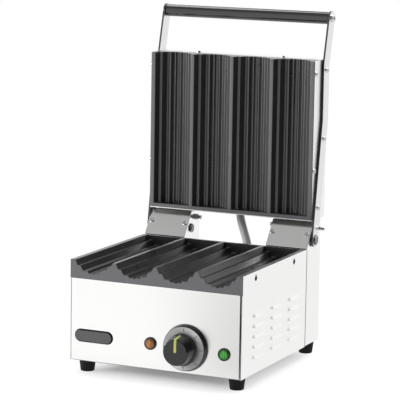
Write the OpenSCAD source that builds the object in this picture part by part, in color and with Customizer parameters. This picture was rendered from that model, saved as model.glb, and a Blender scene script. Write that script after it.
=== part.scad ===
// Hot dog contact grill: two cast plates with ribbed troughs, in a free-standing sheet-steel body.
// Millimetres. X is the width, Y runs from the front panel to the back, and Z is up from the table.
// Base pieces are drawn where they stand. Lid pieces are drawn closed on the base, then turned up
// about the hinge, so the drawn lid stands open against its stop studs.

/* [Body] */
// Width over the two side panels
body_w = 280; // [250:1:320]
// Depth of the side panels and of the lower plate
plate_depth = 246; // [225:1:290]
// Depth of the hinge housing behind the lower plate
housing_depth = 59; // [56:1:80]
// Height of the rubber feet
foot_h = 20; // [15:1:35]
// Diameter of a foot at its top
foot_d = 26; // [20:1:30]
// Height of the front panel
panel_h = 125; // [110:1:160]
// Thickness of the steel sheet
sheet_t = 1.2; // [0.8:0.1:1.6]
// Louvre columns in each side panel
louvre_cols = 3; // [1:1:3]
// Louvres in each column
louvre_rows = 5; // [1:1:5]
// Length of a louvre
louvre_len = 35; // [20:1:45]

/* [Grill plates] */
// Troughs in each plate
trough_count = 4; // [2:1:6]
// Thickness of each cast plate
plate_t = 28; // [26:1:34]
// Depth of a trough
trough_depth = 20.5; // [14:0.5:22]
// Flat land between two troughs
land_w = 5.7; // [3:0.1:12]
// Flat margin at each side of the lower plate
plate_margin = 7; // [5:0.5:14]
// Rim that closes the troughs at the hinge end
plate_rim = 5.5; // [4:0.5:20]
// Height of the middle rib above the grooves beside it
groove_depth = 0.8; // [0.4:0.1:3]
// Diameter of the tube heating elements
element_d = 8; // [6:0.5:9]

/* [Lid] */
// Gap between the closed plates
lid_gap = 0.6; // [0.4:0.1:3]
// Height of the lid cover over the face of the upper plate
lid_h = 54; // [50:1:80]
// How far the lid stops short of the lower plate's rear edge
lid_setback = 2; // [1:0.5:6]
// Width of the flat arms
arm_w = 22; // [18:1:28]
// Thickness of the flat arms
arm_t = 3; // [2:0.5:5]
// Arm's sloping run, measured from the hinge along the closed lid
arm_knee = 185; // [150:1:200]
// Rise of the arm's sloping run
arm_lift = 30; // [26:1:40]
// Handle in front of the arm's last bend
handle_reach = 69.6; // [50:0.1:100]
// Handle above the arm's last bend
handle_lift = 18; // [0:1:40]
// Diameter of the handle grip
handle_d = 19; // [14:1:26]

/* [Hinge] */
// Pivot behind the lower plate's rear edge
hinge_back = 28; // [26:0.5:34]
// Pivot above the lower plate's top
hinge_up = 11; // [9:0.5:16]
// Width of each hinge housing
housing_w = 68.5; // [50:0.5:90]
// Diameter of the pivot bolts
pivot_d = 8; // [6:0.5:10]
// Diameter of the stop studs
stud_d = 6; // [4:0.5:8]
// Length of each stop stud outside the arm and inside the housing
stud_out = 8.3; // [4:0.1:14]
// Outside diameter of the flexible conduit
conduit_d = 13; // [10:0.5:14]

/* [Controls] */
// Height of the controls above the bottom of the front panel
control_up = 39; // [36:1:50]
// Dial to the left of the body's right side
dial_x = 88.5; // [80:0.5:95]
// Diameter of the dial bezel at the panel
bezel_d = 70.7; // [60:0.1:74]
// Depth of the dial bezel
bezel_h = 8; // [6:0.5:12]
// Diameter of the knob at its skirt
knob_d = 48.5; // [38:0.5:54]
// Height of the knob
knob_h = 24.5; // [20:0.5:36]
// Diameter of the lamp bezels
lamp_d = 21; // [16:0.5:26]
// Amber lamp to the left of the body's right side
amber_x = 146; // [140:0.5:148]
// Green lamp to the left of the body's right side
green_x = 27; // [24:0.5:32]
// Length of the badge plate
badge_l = 64; // [40:1:70]
// Height of the badge plate
badge_w = 20; // [12:1:26]
// Badge plate to the right of the body's left side
badge_x = 40.2; // [40:0.1:50]

/* [Hidden] */
$fn = 48;
// Clearances: sheets laid on each other, plates in their housings, and the moving lid beside the housing
touch = 0.1;
fit = 0.3;
side_gap = 0.7;
seam = 0.4;
eps = 0.01;

half_w = body_w / 2;
side_in = half_w - sheet_t;
housing_x = half_w - 1.5;
housing_in = housing_x - housing_w;
panel_top = foot_h + panel_h;
plate_top = panel_top + plate_t;
plate_w = 2 * (side_in - fit);
rear_y = plate_depth + housing_depth;
deck_z = panel_top + 5;

pitch = (plate_w - 2 * plate_margin + land_w) / trough_count;
trough_w = pitch - land_w;

hinge_y = plate_depth + hinge_back;
hinge_z = plate_top + hinge_up;
hinge = [0, hinge_y, hinge_z];
// The housing's top stays under the open lid
lid_clear = 3;
housing_top = hinge_z + hinge_back + lid_setback - lid_clear;

lid_x = housing_x;
lid_front = -3.5;
// The upper plate's open end lies behind the front of the cover
plate_inset = 0.2;
lid_back = plate_depth - lid_setback;
lid_face = plate_top + lid_gap;
lid_top = lid_face + lid_h;
// Flange round the upper plate's face, in front of the cover's side walls
flange_t = 0.8;
cover_bottom = lid_face + flange_t + touch;
upper_w = 2 * (lid_x - sheet_t - fit);
upper_y0 = lid_front + plate_inset;
upper_y1 = lid_back - sheet_t - fit;

arm_x = housing_x + side_gap;
arm_out = arm_x + arm_t;
arm_end = lid_front - hinge_y + 7.5;
arm_path = [
    [0, 0],
    [-arm_knee, arm_lift],
    [arm_end, arm_lift],
    [arm_end - handle_reach, arm_lift + handle_lift]
];
handle_pos = [0, hinge_y + arm_path[3][0], hinge_z + arm_path[3][1]];
arm_screw_y = [
    for (s = [lid_back - 19, (lid_back + lid_front - 2.5) / 2, lid_front + 16.5]) s
];

control_z = foot_h + control_up;
dial_at = half_w - dial_x;
amber_at = half_w - amber_x;
green_at = half_w - green_x;
// The green lamp sits a little under the line of the other controls
green_drop = 3.3;
badge_at = badge_x - half_w;
scale_t = 0.6;
// Gap between the dial and the knob
knob_clear = 4.5;
knob_base = bezel_h + scale_t + knob_clear;
knob_front = knob_base + knob_h;
pointer_proud = 0.1;

front_y = -(knob_front + pointer_proud);
back_y = hinge_y + arm_path[3][1] + arm_w / 2;
origin_y = (front_y + back_y) / 2;

steel = "Gainsboro";
black = "DimGray";
cast = "SlateGray";

// Placing

// The origin lies on the table, under the middle of the whole object
module base() {
    translate([0, -origin_y, 0]) children();
}

// Turns a closed lid piece up about the hinge
module lid() {
    base() translate(hinge) rotate([-90, 0, 0]) translate(-hinge) children();
}

module left() {
    mirror([1, 0, 0]) children();
}

module both_sides() {
    children();
    left() children();
}

// Turn a piece that is drawn along +Z to stand out of the front, the right side or the back
module out_front() {
    rotate([90, 0, 0]) children();
}

module out_right() {
    rotate([0, 90, 0]) children();
}

module out_back() {
    rotate([-90, 0, 0]) children();
}

// Common shapes

function unit(v) = v / norm(v);
function across(v) = [-v[1], v[0]];
function polar(r, a) = r * [cos(a), sin(a)];

// A box from one corner to the opposite one
module box(lo, hi) {
    translate(lo) cube(hi - lo);
}

// A [y, z] outline with its thickness along +X
module side_extrude(t) {
    rotate([90, 0, 90]) linear_extrude(height = t) children();
}

module hex(af, h) {
    cylinder(d = af / cos(30), h = h, $fn = 6);
}

module nut(af, h, bore) {
    difference() {
        hex(af, h);
        translate([0, 0, -1]) cylinder(d = bore, h = h + 2);
    }
}

// Pan head on Z = 0 with a cross recess, and a shank below
module pan_screw(d, len) {
    head_h = 0.6 * d;
    difference() {
        union() {
            cylinder(d1 = 2 * d, d2 = 1.7 * d, h = head_h);
            translate([0, 0, -len]) cylinder(d = d, h = len + head_h / 2);
        }
        for (a = [0, 90])
            rotate([0, 0, a]) translate([-0.55 * d, -0.11 * d, 0.6 * head_h]) cube([1.1 * d, 0.22 * d, d]);
    }
}

// Flat pill with arcs at both ends
module pill(l, w) {
    r = w / 2;
    right_end = [for (a = [-90:15:90]) [l / 2 - r, 0] + polar(r, a)];
    left_end = [for (a = [90:15:270]) [r - l / 2, 0] + polar(r, a)];
    polygon(concat(right_end, left_end));
}

// Tube swept along stations of [point, direction] that lie in one plane, solid or with a bore
module swept_tube(stations, normal, d, bore, sides) {
    radii = bore > 0 ? [d / 2, bore / 2] : [d / 2];
    skins = len(radii);
    last = len(stations) - 1;
    function corner(i, skin, j) = (skins * i + skin) * sides + j % sides;
    points = [
        for (station = stations)
            for (r = radii)
                for (j = [0 : sides - 1])
                    let (a = 360 * j / sides)
                    station[0] + r * (cos(a) * normal + sin(a) * cross(station[1], normal))
    ];
    outward = [[0, 0], [1, 0], [1, 1], [0, 1]];
    inward = [[0, 0], [0, 1], [1, 1], [1, 0]];
    walls = [
        for (skin = [0 : skins - 1])
            for (i = [0 : last - 1])
                for (j = [0 : sides - 1])
                    [for (c = skin == 0 ? outward : inward)
                        corner(i + c[0], skin, j + c[1])]
    ];
    caps = bore > 0 ? [
        for (j = [0 : sides - 1]) each [
            [corner(0, 0, j), corner(0, 0, j + 1), corner(0, 1, j + 1), corner(0, 1, j)],
            [corner(last, 0, j), corner(last, 1, j), corner(last, 1, j + 1), corner(last, 0, j + 1)]
        ]
    ] : [
        [for (j = [0 : sides - 1]) corner(0, 0, j)],
        [for (j = [sides - 1 : -1 : 0]) corner(last, 0, j)]
    ];
    polyhedron(points = points, faces = concat(walls, caps));
}

// Body sheets

// Gap between the front panel and each side panel
panel_gap = 1.6;
lamp_hole = 13;
dial_screw_x = 14;
bushing_d = 10;

module front_panel() {
    color(steel) base() difference() {
        box([-side_in + panel_gap, 0, foot_h], [side_in - panel_gap, sheet_t, panel_top]);
        for (lamp_at = [[amber_at, control_z], [green_at, control_z - green_drop]])
            translate([lamp_at[0], sheet_t + 1, lamp_at[1]]) out_front()
                cylinder(d = lamp_hole, h = sheet_t + 2);
        translate([dial_at, sheet_t + 1, control_z]) out_front() {
            cylinder(d = bushing_d + 2 * touch, h = sheet_t + 2);
            for (x = [-dial_screw_x, dial_screw_x])
                translate([x, 0, 0]) cylinder(d = 4 + 2 * touch, h = sheet_t + 2);
        }
    }
}

louvre_h = 6;
louvre_proud = 3;
keyhole_d = 9;
keyhole_z = plate_top - 10;
keyhole_y = [0.195 * plate_depth, 0.79 * plate_depth];
pin_d = 4;
pin_z = keyhole_z + 3;

// Pressed hood that opens downward, drawn from its open edge
module louvre_hood() {
    wall = 0.9;
    difference() {
        side_wedge(louvre_proud, louvre_h, louvre_len);
        translate([0, 0, -eps]) side_wedge(louvre_proud - wall, louvre_h - 2 * wall, louvre_len - 2 * wall);
    }
}

// Wedge that is widest at the bottom, standing out of a right-hand panel
module side_wedge(proud, h, len) {
    translate([0, len / 2, 0]) rotate([90, 0, 0]) linear_extrude(height = len)
        polygon([[-eps, 0], [proud, 0], [-eps, h]]);
}

module at_louvres() {
    for (col = [0 : louvre_cols - 1])
        for (row = [0 : louvre_rows - 1])
            translate([half_w, plate_depth * (0.25 + 0.272 * col), foot_h + 23 + 15.5 * row]) children();
}

module side_panel() {
    slot = louvre_len - 2;
    difference() {
        box([side_in, 0, foot_h], [half_w, plate_depth, plate_top]);
        at_louvres() translate([-sheet_t - 1, -slot / 2, eps]) cube([sheet_t + 1, slot, louvre_h - 2]);
        box([side_in - 1, -1, panel_top - fit], [half_w + 1, lip_t + fit, plate_top + 1]);
        for (y = keyhole_y)
            translate([side_in - 1, y, keyhole_z]) {
                out_right() cylinder(d = keyhole_d, h = sheet_t + 2);
                translate([0, -pin_d / 2 - fit, 0]) cube([sheet_t + 2, pin_d + 2 * fit, pin_z - keyhole_z]);
                translate([0, 0, pin_z - keyhole_z]) out_right()
                    cylinder(d = pin_d + 2 * fit, h = sheet_t + 2);
            }
    }
    at_louvres() louvre_hood();
}

module right_side_panel() {
    color(steel) base() side_panel();
}

module left_side_panel() {
    color(steel) base() left() side_panel();
}

foot_x = half_w - 17;
foot_y = [25, rear_y - 13];
foot_screw_d = 5;

module at_feet() {
    for (x = [-foot_x, foot_x])
        for (y = foot_y)
            translate([x, y, 0]) children();
}

// Slots in the bottom plate that let air in
vent_w = 6;
vent_pitch = 30;
vent_y0 = 0.3 * plate_depth;
vent_y1 = 0.7 * plate_depth;

module bottom_plate() {
    edge = housing_x - sheet_t - fit;
    color(steel) base() difference() {
        box([-edge, sheet_t + fit, foot_h], [edge, rear_y - sheet_t - fit, foot_h + sheet_t]);
        at_feet() translate([0, 0, foot_h - 1]) cylinder(d = foot_screw_d + 2 * touch, h = sheet_t + 2);
        for (i = [-2 : 2])
            translate([i * vent_pitch - vent_w / 2, vent_y0, foot_h - 1])
                cube([vent_w, vent_y1 - vent_y0, sheet_t + 2]);
    }
}

gland_side = 50;
gland_up = 40;
gland_x = gland_side - half_w;
gland_z = foot_h + gland_up;
gland_bore = 16;
// Slots in the rear panel that let air out
rear_slot_l = 80;
rear_slot_w = 4;
rear_slot_pitch = 12;
rear_slot_up = 70;

module rear_panel() {
    edge = housing_x - sheet_t - touch;
    color(steel) base() difference() {
        box([-edge, rear_y - sheet_t, foot_h], [edge, rear_y, deck_z]);
        translate([gland_x, rear_y - sheet_t - 1, gland_z]) out_back()
            cylinder(d = gland_bore, h = sheet_t + 2);
        for (i = [0 : 2])
            translate([0, rear_y - sheet_t - 1, foot_h + rear_slot_up + rear_slot_pitch * i])
                cube([rear_slot_l, sheet_t + 2, rear_slot_w]);
    }
}

// Conduit ends: the hole in the rear deck and the hole in the open lid's lower wall
conduit_base_x = 28.5;
conduit_base_back = 3;
conduit_lid_x = 2.5;
conduit_lid_back = 28;
conduit_base = [conduit_base_x, hinge_y + conduit_base_back];
conduit_lid = [conduit_lid_x, hinge_y + conduit_lid_back];
conduit_hole = conduit_d + 2;

module rear_deck() {
    edge = housing_x - sheet_t - touch;
    color(steel) base() difference() {
        box([-edge, plate_depth + seam, deck_z - sheet_t], [edge, rear_y - sheet_t - touch, deck_z]);
        translate([conduit_base[0], conduit_base[1], deck_z - sheet_t - 1])
            cylinder(d = conduit_hole, h = sheet_t + 2);
    }
}

// Hinge housings

cover_foot = [plate_depth + seam, plate_top - 1];
cover_knee = [hinge_y + 1, housing_top];
cover_rear = [rear_y, housing_top];
cover_dir = unit(cover_knee - cover_foot);
cover_in = -across(cover_dir);

// Points of the cover's profile at a depth t under its outer face
function foot_under(t) = cover_foot + t * cover_in;
function knee_under(t) = foot_under(t) + (housing_top - t - foot_under(t)[1]) / cover_dir[1] * cover_dir;

// How far the arm's middle line and the stud stand apart when the arm rests on the stud
arm_dir = unit([arm_lift, arm_knee]);
stud_gap = (arm_w + stud_d) / 2 + fit;
stud_pos = [hinge_y, hinge_z] + 18 * arm_dir - stud_gap * across(arm_dir);

module housing_wall(x, bottom) {
    under = sheet_t + touch;
    front = plate_depth + seam;
    translate([x, 0, 0]) difference() {
        side_extrude(sheet_t) polygon([
            [front, bottom],
            [front, cover_foot[1] - 3],
            foot_under(under),
            knee_under(under),
            [rear_y, housing_top - under],
            [rear_y, bottom]
        ]);
        translate([-1, hinge_y, hinge_z]) out_right() cylinder(d = pivot_d + 2 * touch, h = sheet_t + 2);
        translate([-1, stud_pos[0], stud_pos[1]]) out_right()
            cylinder(d = stud_d + 2 * touch, h = sheet_t + 2);
    }
}

module hinge_housing() {
    housing_wall(housing_x - sheet_t, foot_h);
    housing_wall(housing_in, deck_z + touch);
    box(
        [housing_in, rear_y - sheet_t, deck_z + touch],
        [housing_x, rear_y, housing_top - sheet_t - touch]
    );
}

module right_hinge_housing() {
    color(steel) base() hinge_housing();
}

module left_hinge_housing() {
    color(steel) base() left() hinge_housing();
}

cover_screw_d = 4;
cover_screw_x = [housing_in + 5, housing_x - 5.5];

// Middle of the sloping face, facing out of it along +Z
module at_cover_screws() {
    middle = (cover_foot + cover_knee) / 2 + 1.5 * cover_dir;
    slope = atan2(cover_dir[1], cover_dir[0]);
    for (x = cover_screw_x)
        translate([x, middle[0], middle[1]]) rotate([slope, 0, 0]) children();
}

module hinge_cover() {
    difference() {
        translate([housing_in, 0, 0]) side_extrude(housing_w) polygon([
            cover_foot,
            cover_knee,
            cover_rear,
            cover_rear - [0, sheet_t],
            knee_under(sheet_t),
            foot_under(sheet_t)
        ]);
        at_cover_screws() translate([0, 0, -sheet_t - 1])
            cylinder(d = cover_screw_d + 2 * touch, h = sheet_t + 2);
    }
}

module right_hinge_cover() {
    color(steel) base() hinge_cover();
}

module left_hinge_cover() {
    color(steel) base() left() hinge_cover();
}

module hinge_cover_screws() {
    color(steel) base() both_sides() at_cover_screws() pan_screw(cover_screw_d, 6);
}

washer_t = 0.8;
pivot_head_h = 1.2;
// Thin nut inside the housing, and the bolt's end that stands out of it
pivot_nut_h = 2.4;
pivot_end = 0.6;
pivot_head = arm_out + fit;

module pivot_bolt() {
    translate([0, hinge_y, hinge_z]) out_right() {
        translate([0, 0, pivot_head]) cylinder(d = 2 * pivot_d, h = washer_t);
        translate([0, 0, pivot_head + washer_t]) hex(1.6 * pivot_d, pivot_head_h);
        inner_end = housing_in - pivot_nut_h - pivot_end;
        translate([0, 0, inner_end])
            cylinder(d = pivot_d, h = pivot_head + washer_t + pivot_head_h / 2 - inner_end);
    }
}

module right_pivot_bolt() {
    color(steel) base() pivot_bolt();
}

module left_pivot_bolt() {
    color(steel) base() left() pivot_bolt();
}

module pivot_nuts() {
    color(steel) base() both_sides() translate([housing_in - pivot_nut_h, hinge_y, hinge_z]) out_right()
        nut(1.6 * pivot_d, pivot_nut_h, pivot_d + 2 * touch);
}

stud_tip = arm_out + stud_out;
stud_in = 10.5;

module stop_stud() {
    inner_tip = housing_in - stud_in;
    translate([inner_tip, stud_pos[0], stud_pos[1]]) out_right()
        cylinder(d = stud_d, h = stud_tip - inner_tip);
}

module right_stop_stud() {
    color(steel) base() stop_stud();
}

module left_stop_stud() {
    color(steel) base() left() stop_stud();
}

module stop_stud_nuts() {
    nut_h = 0.8 * stud_d;
    color(steel) base() both_sides() for (x = [housing_in, housing_x - sheet_t])
        translate([x - nut_h, stud_pos[0], stud_pos[1]]) out_right()
            nut(1.4 * stud_d, nut_h, stud_d + 2 * touch);
}

// Grill plates, drawn face up with the back of the plate on Z = 0 and the open trough ends in front

// Corners of the stepped ribs, from the edge of a trough to its deepest line, in parts of its
// half width and of its depth
trough_steps = [
    [1, 0], [0.875, 0.4], [0.732, 0.38], [0.584, 0.76], [0.5, 0.74], [0.46, 0.8],
    [0.333, 0.765], [0.224, 0.955], [0.12, 0.945], [0.085, 0.971]
];

function trough_side(side) = [for (s = trough_steps) [side * s[0] * trough_w / 2, -s[1] * trough_depth]];
function backwards(list) = [for (i = [len(list) - 1 : -1 : 0]) list[i]];

// One middle rib stands between the two deepest lines
trough_outline = concat(
    trough_side(-1),
    [[0, groove_depth - trough_steps[len(trough_steps) - 1][1] * trough_depth]],
    backwards(trough_side(1))
);

function trough_x(i) = (i - (trough_count - 1) / 2) * pitch;

// Section with a face that may be wider than the plate behind it
module plate_section(w, face_w) {
    troughs = [
        for (i = [0 : trough_count - 1])
            for (p = trough_outline) [trough_x(i), plate_t] + p
    ];
    step = plate_t - flange_t;
    plain = [[-w / 2, 0], [-w / 2, plate_t]];
    flanged = [[-w / 2, 0], [-w / 2, step], [-face_w / 2, step], [-face_w / 2, plate_t]];
    left_edge = face_w > w ? flanged : plain;
    right_edge = backwards([for (p = left_edge) [-p[0], p[1]]]);
    polygon(concat(left_edge, troughs, right_edge));
}

clamp_screw_d = 5;
clamp_hole = 9;

// Clamp screws stand under the lands, between the element's runs
module at_clamp_screws(y0, y1) {
    for (y = [y0 + 0.3 * (y1 - y0), y0 + 0.7 * (y1 - y0)])
        for (i = [0 : trough_count - 2])
            translate([trough_x(i) + pitch / 2, y, 0]) children();
}

module grill_plate(w, y0, y1, face_w) {
    difference() {
        union() {
            translate([0, y1 - plate_rim, 0]) rotate([90, 0, 0])
                linear_extrude(height = y1 - plate_rim - y0) plate_section(w, face_w);
            box([-w / 2, y1 - plate_rim, 0], [w / 2, y1, plate_t]);
            box([-face_w / 2, y1 - plate_rim, plate_t - flange_t], [face_w / 2, y1, plate_t]);
        }
        at_clamp_screws(y0, y1) translate([0, 0, -1])
            cylinder(d = clamp_screw_d + 2 * touch, h = clamp_hole + 1);
    }
}

element_z = -element_d / 2 - touch;

// One bent tube that runs under every trough and turns back at alternate ends
module element(y0, y1) {
    turn = pitch / 2;
    front = y0 + turn + 12;
    back = y1 - turn - 12;
    last = trough_count - 1;
    start = [[[trough_x(0), front, element_z], [0, 1, 0]]];
    bends = [
        for (i = [0 : last - 1])
            let (way = i % 2 == 0 ? 1 : -1, y = way > 0 ? back : front)
            for (a = [0 : 15 : 180])
                [
                    [trough_x(i) + turn - turn * cos(a), y + way * turn * sin(a), element_z],
                    [sin(a), way * cos(a), 0]
                ]
    ];
    end_way = last % 2 == 0 ? 1 : -1;
    end = [[[trough_x(last), end_way > 0 ? back : front, element_z], [0, end_way, 0]]];
    swept_tube(concat(start, bends, end), [0, 0, 1], element_d, 0, 12);
}

clamp_t = 2;
clamp_w = 20;
clamp_top = element_z - element_d / 2 - touch;

module clamps(y0, y1) {
    difference() {
        for (y = [y0 + 0.3 * (y1 - y0), y0 + 0.7 * (y1 - y0)])
            translate([0, y, clamp_top - clamp_t / 2])
                cube([(trough_count - 0.4) * pitch, clamp_w, clamp_t], center = true);
        at_clamp_screws(y0, y1) translate([0, 0, clamp_top - clamp_t - 1])
            cylinder(d = clamp_screw_d + 2 * touch, h = clamp_t + 2);
    }
}

module clamp_screws(y0, y1) {
    at_clamp_screws(y0, y1) translate([0, 0, clamp_top - clamp_t]) rotate([180, 0, 0])
        pan_screw(clamp_screw_d, clamp_hole + clamp_t - clamp_top - 1);
}

module lower() {
    base() translate([0, 0, panel_top]) children();
}

module upper() {
    lid() translate([0, 0, lid_face + plate_t]) rotate([0, 180, 0]) children();
}

pin_depth = 5;
// Front of the lower plate, as wide as the body
lip_t = sheet_t;

module lower_plate() {
    color(cast) difference() {
        lower() union() {
            grill_plate(plate_w, 0, plate_depth, plate_w);
            translate([0, lip_t, 0]) rotate([90, 0, 0])
                linear_extrude(height = lip_t) plate_section(body_w, body_w);
        }
        base() both_sides() at_plate_pins() translate([0, 0, -pin_depth])
            cylinder(d = pin_d + 2 * touch, h = pin_depth + 1);
    }
}

module at_plate_pins() {
    for (y = keyhole_y)
        translate([plate_w / 2, y, pin_z]) out_right() children();
}

module plate_pins() {
    color(steel) base() both_sides() at_plate_pins() translate([0, 0, 0.5 - pin_depth])
        cylinder(d = pin_d, h = pin_depth - 0.5 + fit + sheet_t);
}

module lower_element() {
    color(black) lower() element(0, plate_depth);
}

module lower_clamps() {
    color(steel) lower() clamps(0, plate_depth);
}

module lower_clamp_screws() {
    color(steel) lower() clamp_screws(0, plate_depth);
}

cover_pin_d = 4;
cover_pin_depth = 3;
front_screw_len = 8;
front_screw_x = 0.52 * lid_x;
plate_back = lid_face + plate_t;
front_screw_z = plate_back + 5;

module at_lid_side_screws() {
    for (y = [0.08, 0.69])
        translate([lid_x, upper_y0 + y * plate_depth, cover_bottom + 4]) out_right() children();
}

module at_lid_front_screws() {
    for (x = [-front_screw_x, front_screw_x])
        translate([x, lid_front, front_screw_z]) out_front() children();
}

module upper_plate() {
    side_hole = sheet_t + fit + cover_pin_depth;
    color(cast) difference() {
        upper() grill_plate(upper_w, upper_y0, upper_y1, 2 * lid_x);
        lid() both_sides() at_lid_side_screws() translate([0, 0, -side_hole])
            cylinder(d = cover_pin_d + 2 * touch, h = side_hole);
    }
}

module upper_element() {
    color(black) upper() element(upper_y0, upper_y1);
}

module upper_clamps() {
    color(steel) upper() clamps(upper_y0, upper_y1);
}

module upper_clamp_screws() {
    color(steel) upper() clamp_screws(upper_y0, upper_y1);
}

// Lid cover, arms and handle

arm_screw_d = 4;
lid_gland_z = hinge_z + conduit_lid[1] - hinge_y;

function arm_rise(y) = hinge_z + arm_lift * min(1, (hinge_y - y) / arm_knee);

module at_arm_screws() {
    for (y = arm_screw_y)
        translate([arm_out, y, arm_rise(y)]) out_right() children();
}

module lid_cover() {
    screw_hole = arm_screw_d + 2 * touch;
    color(steel) lid() difference() {
        box([-lid_x, lid_front, cover_bottom], [lid_x, lid_back, lid_top]);
        box(
            [-lid_x + sheet_t, lid_front + sheet_t, cover_bottom - 1],
            [lid_x - sheet_t, lid_back - sheet_t, lid_top - sheet_t]
        );
        // The plate's open end shows in front, so the front wall stops at the plate's back
        box(
            [-lid_x + sheet_t, lid_front - 1, cover_bottom - 1],
            [lid_x - sheet_t, lid_front + sheet_t + 1, plate_back + touch]
        );
        both_sides() {
            at_arm_screws() translate([0, 0, -arm_t - side_gap - sheet_t - 1])
                cylinder(d = screw_hole, h = sheet_t + 2);
            at_lid_side_screws() translate([0, 0, -sheet_t - 1]) cylinder(d = screw_hole, h = sheet_t + 2);
        }
        at_lid_front_screws() translate([0, 0, -sheet_t - 1]) cylinder(d = screw_hole, h = sheet_t + 2);
        translate([conduit_lid[0], lid_back - sheet_t - 1, lid_gland_z]) out_back()
            cylinder(d = conduit_hole, h = sheet_t + 2);
    }
}

function arm_seg(i) = unit(arm_path[i + 1] - arm_path[i]);
function arm_side(i) = across(arm_seg(i));
// Corner of two runs, one half width to the side of both
function arm_mitre(i) = let (n = unit(arm_side(i - 1) + arm_side(i))) arm_w / 2 * n / (n * arm_side(i));
function heading(v) = atan2(v[1], v[0]);

arm_outline = concat(
    [for (a = [90:15:270]) arm_path[0] + polar(arm_w / 2, heading(arm_seg(0)) + a)],
    [for (i = [1, 2]) arm_path[i] - arm_mitre(i)],
    [for (a = [-90:15:90]) arm_path[3] + polar(arm_w / 2, heading(arm_seg(2)) + a)],
    [for (i = [2, 1]) arm_path[i] + arm_mitre(i)]
);

handle_screw_d = 6;

module arm() {
    difference() {
        translate([arm_x, hinge_y, hinge_z]) side_extrude(arm_t) polygon(arm_outline);
        translate([arm_x - 1, hinge_y, hinge_z]) out_right() cylinder(d = pivot_d + touch, h = arm_t + 2);
        translate([arm_x - 1, 0, 0] + handle_pos) out_right()
            cylinder(d = handle_screw_d + 2 * touch, h = arm_t + 2);
        at_arm_screws() translate([0, 0, -arm_t - 1]) cylinder(d = arm_screw_d + 2 * touch, h = arm_t + 2);
    }
}

module right_arm() {
    color(steel) lid() arm();
}

module left_arm() {
    color(steel) lid() left() arm();
}

rod_d = handle_d / 2;
handle_half = arm_x - fit;
handle_screw_len = 20;

module handle_grip() {
    color(black) lid() translate(handle_pos - [handle_half, 0, 0]) out_right() difference() {
        cylinder(d = handle_d, h = 2 * handle_half);
        translate([0, 0, -1]) cylinder(d = rod_d + 2 * touch, h = 2 * handle_half + 2);
    }
}

module handle_rod() {
    color(steel) lid() translate(handle_pos - [handle_half, 0, 0]) out_right() difference() {
        cylinder(d = rod_d, h = 2 * handle_half);
        for (z = [-1, 2 * handle_half - handle_screw_len])
            translate([0, 0, z]) cylinder(d = handle_screw_d + 2 * touch, h = handle_screw_len + 1);
    }
}

module handle_screws() {
    color(steel) lid() both_sides() translate([arm_out, 0, 0] + handle_pos) out_right()
        pan_screw(handle_screw_d, handle_screw_len);
}

module arm_screws() {
    color(steel) lid() both_sides() at_arm_screws() pan_screw(arm_screw_d, arm_t + side_gap + sheet_t);
}

module lid_side_screws() {
    color(steel) lid() both_sides() at_lid_side_screws()
        pan_screw(cover_pin_d, sheet_t + fit + cover_pin_depth - 0.5);
}

module lid_front_screws() {
    color(steel) lid() at_lid_front_screws() pan_screw(cover_pin_d, front_screw_len);
}

// Conduit between the base and the lid

gland_h = 3;
gland_af = conduit_hole + 3;
locknut_h = 3;

// Hex collar on Z = 0, a neck through the sheet and a locknut behind it
module conduit_gland() {
    difference() {
        union() {
            hex(gland_af, gland_h);
            translate([0, 0, -sheet_t - locknut_h])
                cylinder(d = conduit_hole - touch, h = sheet_t + locknut_h + 1);
            translate([0, 0, -sheet_t - locknut_h]) hex(gland_af, locknut_h);
        }
        translate([0, 0, -sheet_t - locknut_h - 1]) cylinder(d = conduit_d + 2 * touch, h = gland_h + 10);
    }
}

module base_conduit_gland() {
    color(black) base() translate([conduit_base[0], conduit_base[1], deck_z]) conduit_gland();
}

module lid_conduit_gland() {
    color(black) lid() translate([conduit_lid[0], lid_back, lid_gland_z]) out_back() conduit_gland();
}

conduit_wall = 1.5;
conduit_rings = 20;
conduit_bottom = deck_z + gland_h;
conduit_top = hinge_z + hinge_y - lid_back - gland_h;
// How far each end pulls the curve straight out of its gland
conduit_pull = 0.32 * (conduit_top - conduit_bottom);
conduit_curve = [
    [conduit_base[0], conduit_base[1], conduit_bottom],
    [conduit_base[0], conduit_base[1], conduit_bottom + conduit_pull],
    [conduit_lid[0], conduit_lid[1], conduit_top - conduit_pull],
    [conduit_lid[0], conduit_lid[1], conduit_top]
];
// Length of each straight end inside its gland
conduit_end = gland_h - 1;

function bezier(p, t) =
    pow(1 - t, 3) * p[0] + 3 * pow(1 - t, 2) * t * p[1] + 3 * (1 - t) * t * t * p[2] + pow(t, 3) * p[3];
function bezier_dir(p, t) = unit(
    pow(1 - t, 2) * (p[1] - p[0]) + 2 * (1 - t) * t * (p[2] - p[1]) + t * t * (p[3] - p[2])
);

module flexible_conduit() {
    up = [0, 0, 1];
    curve = [
        for (i = [0 : conduit_rings])
            let (t = i / conduit_rings) [bezier(conduit_curve, t), bezier_dir(conduit_curve, t)]
    ];
    stations = concat(
        [[conduit_curve[0] - conduit_end * up, up]], curve, [[conduit_curve[3] + conduit_end * up, up]]
    );
    normal = unit(cross(conduit_curve[3] - conduit_curve[0], up));
    color("DarkGray") base() swept_tube(stations, normal, conduit_d, conduit_d - 2 * conduit_wall, 12);
}

module mains_gland() {
    color(black) base() translate([gland_x, rear_y, gland_z]) out_back() difference() {
        union() {
            hex(gland_bore + 6, 6);
            translate([0, 0, 6]) cylinder(d1 = gland_bore + 4, d2 = gland_bore, h = 10);
            translate([0, 0, -sheet_t - 5]) cylinder(d = gland_bore - 2 * touch, h = sheet_t + 6);
            translate([0, 0, -sheet_t - 4]) hex(gland_bore + 6, 4);
        }
        translate([0, 0, -sheet_t - 6]) cylinder(d = 9, h = 30);
    }
}

// Controls on the front panel

module on_panel(x, drop = 0) {
    translate([x, 0, control_z - drop]) out_front() children();
}

thermostat_size = [44, 38, 34];
shaft_d = 6;

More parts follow.
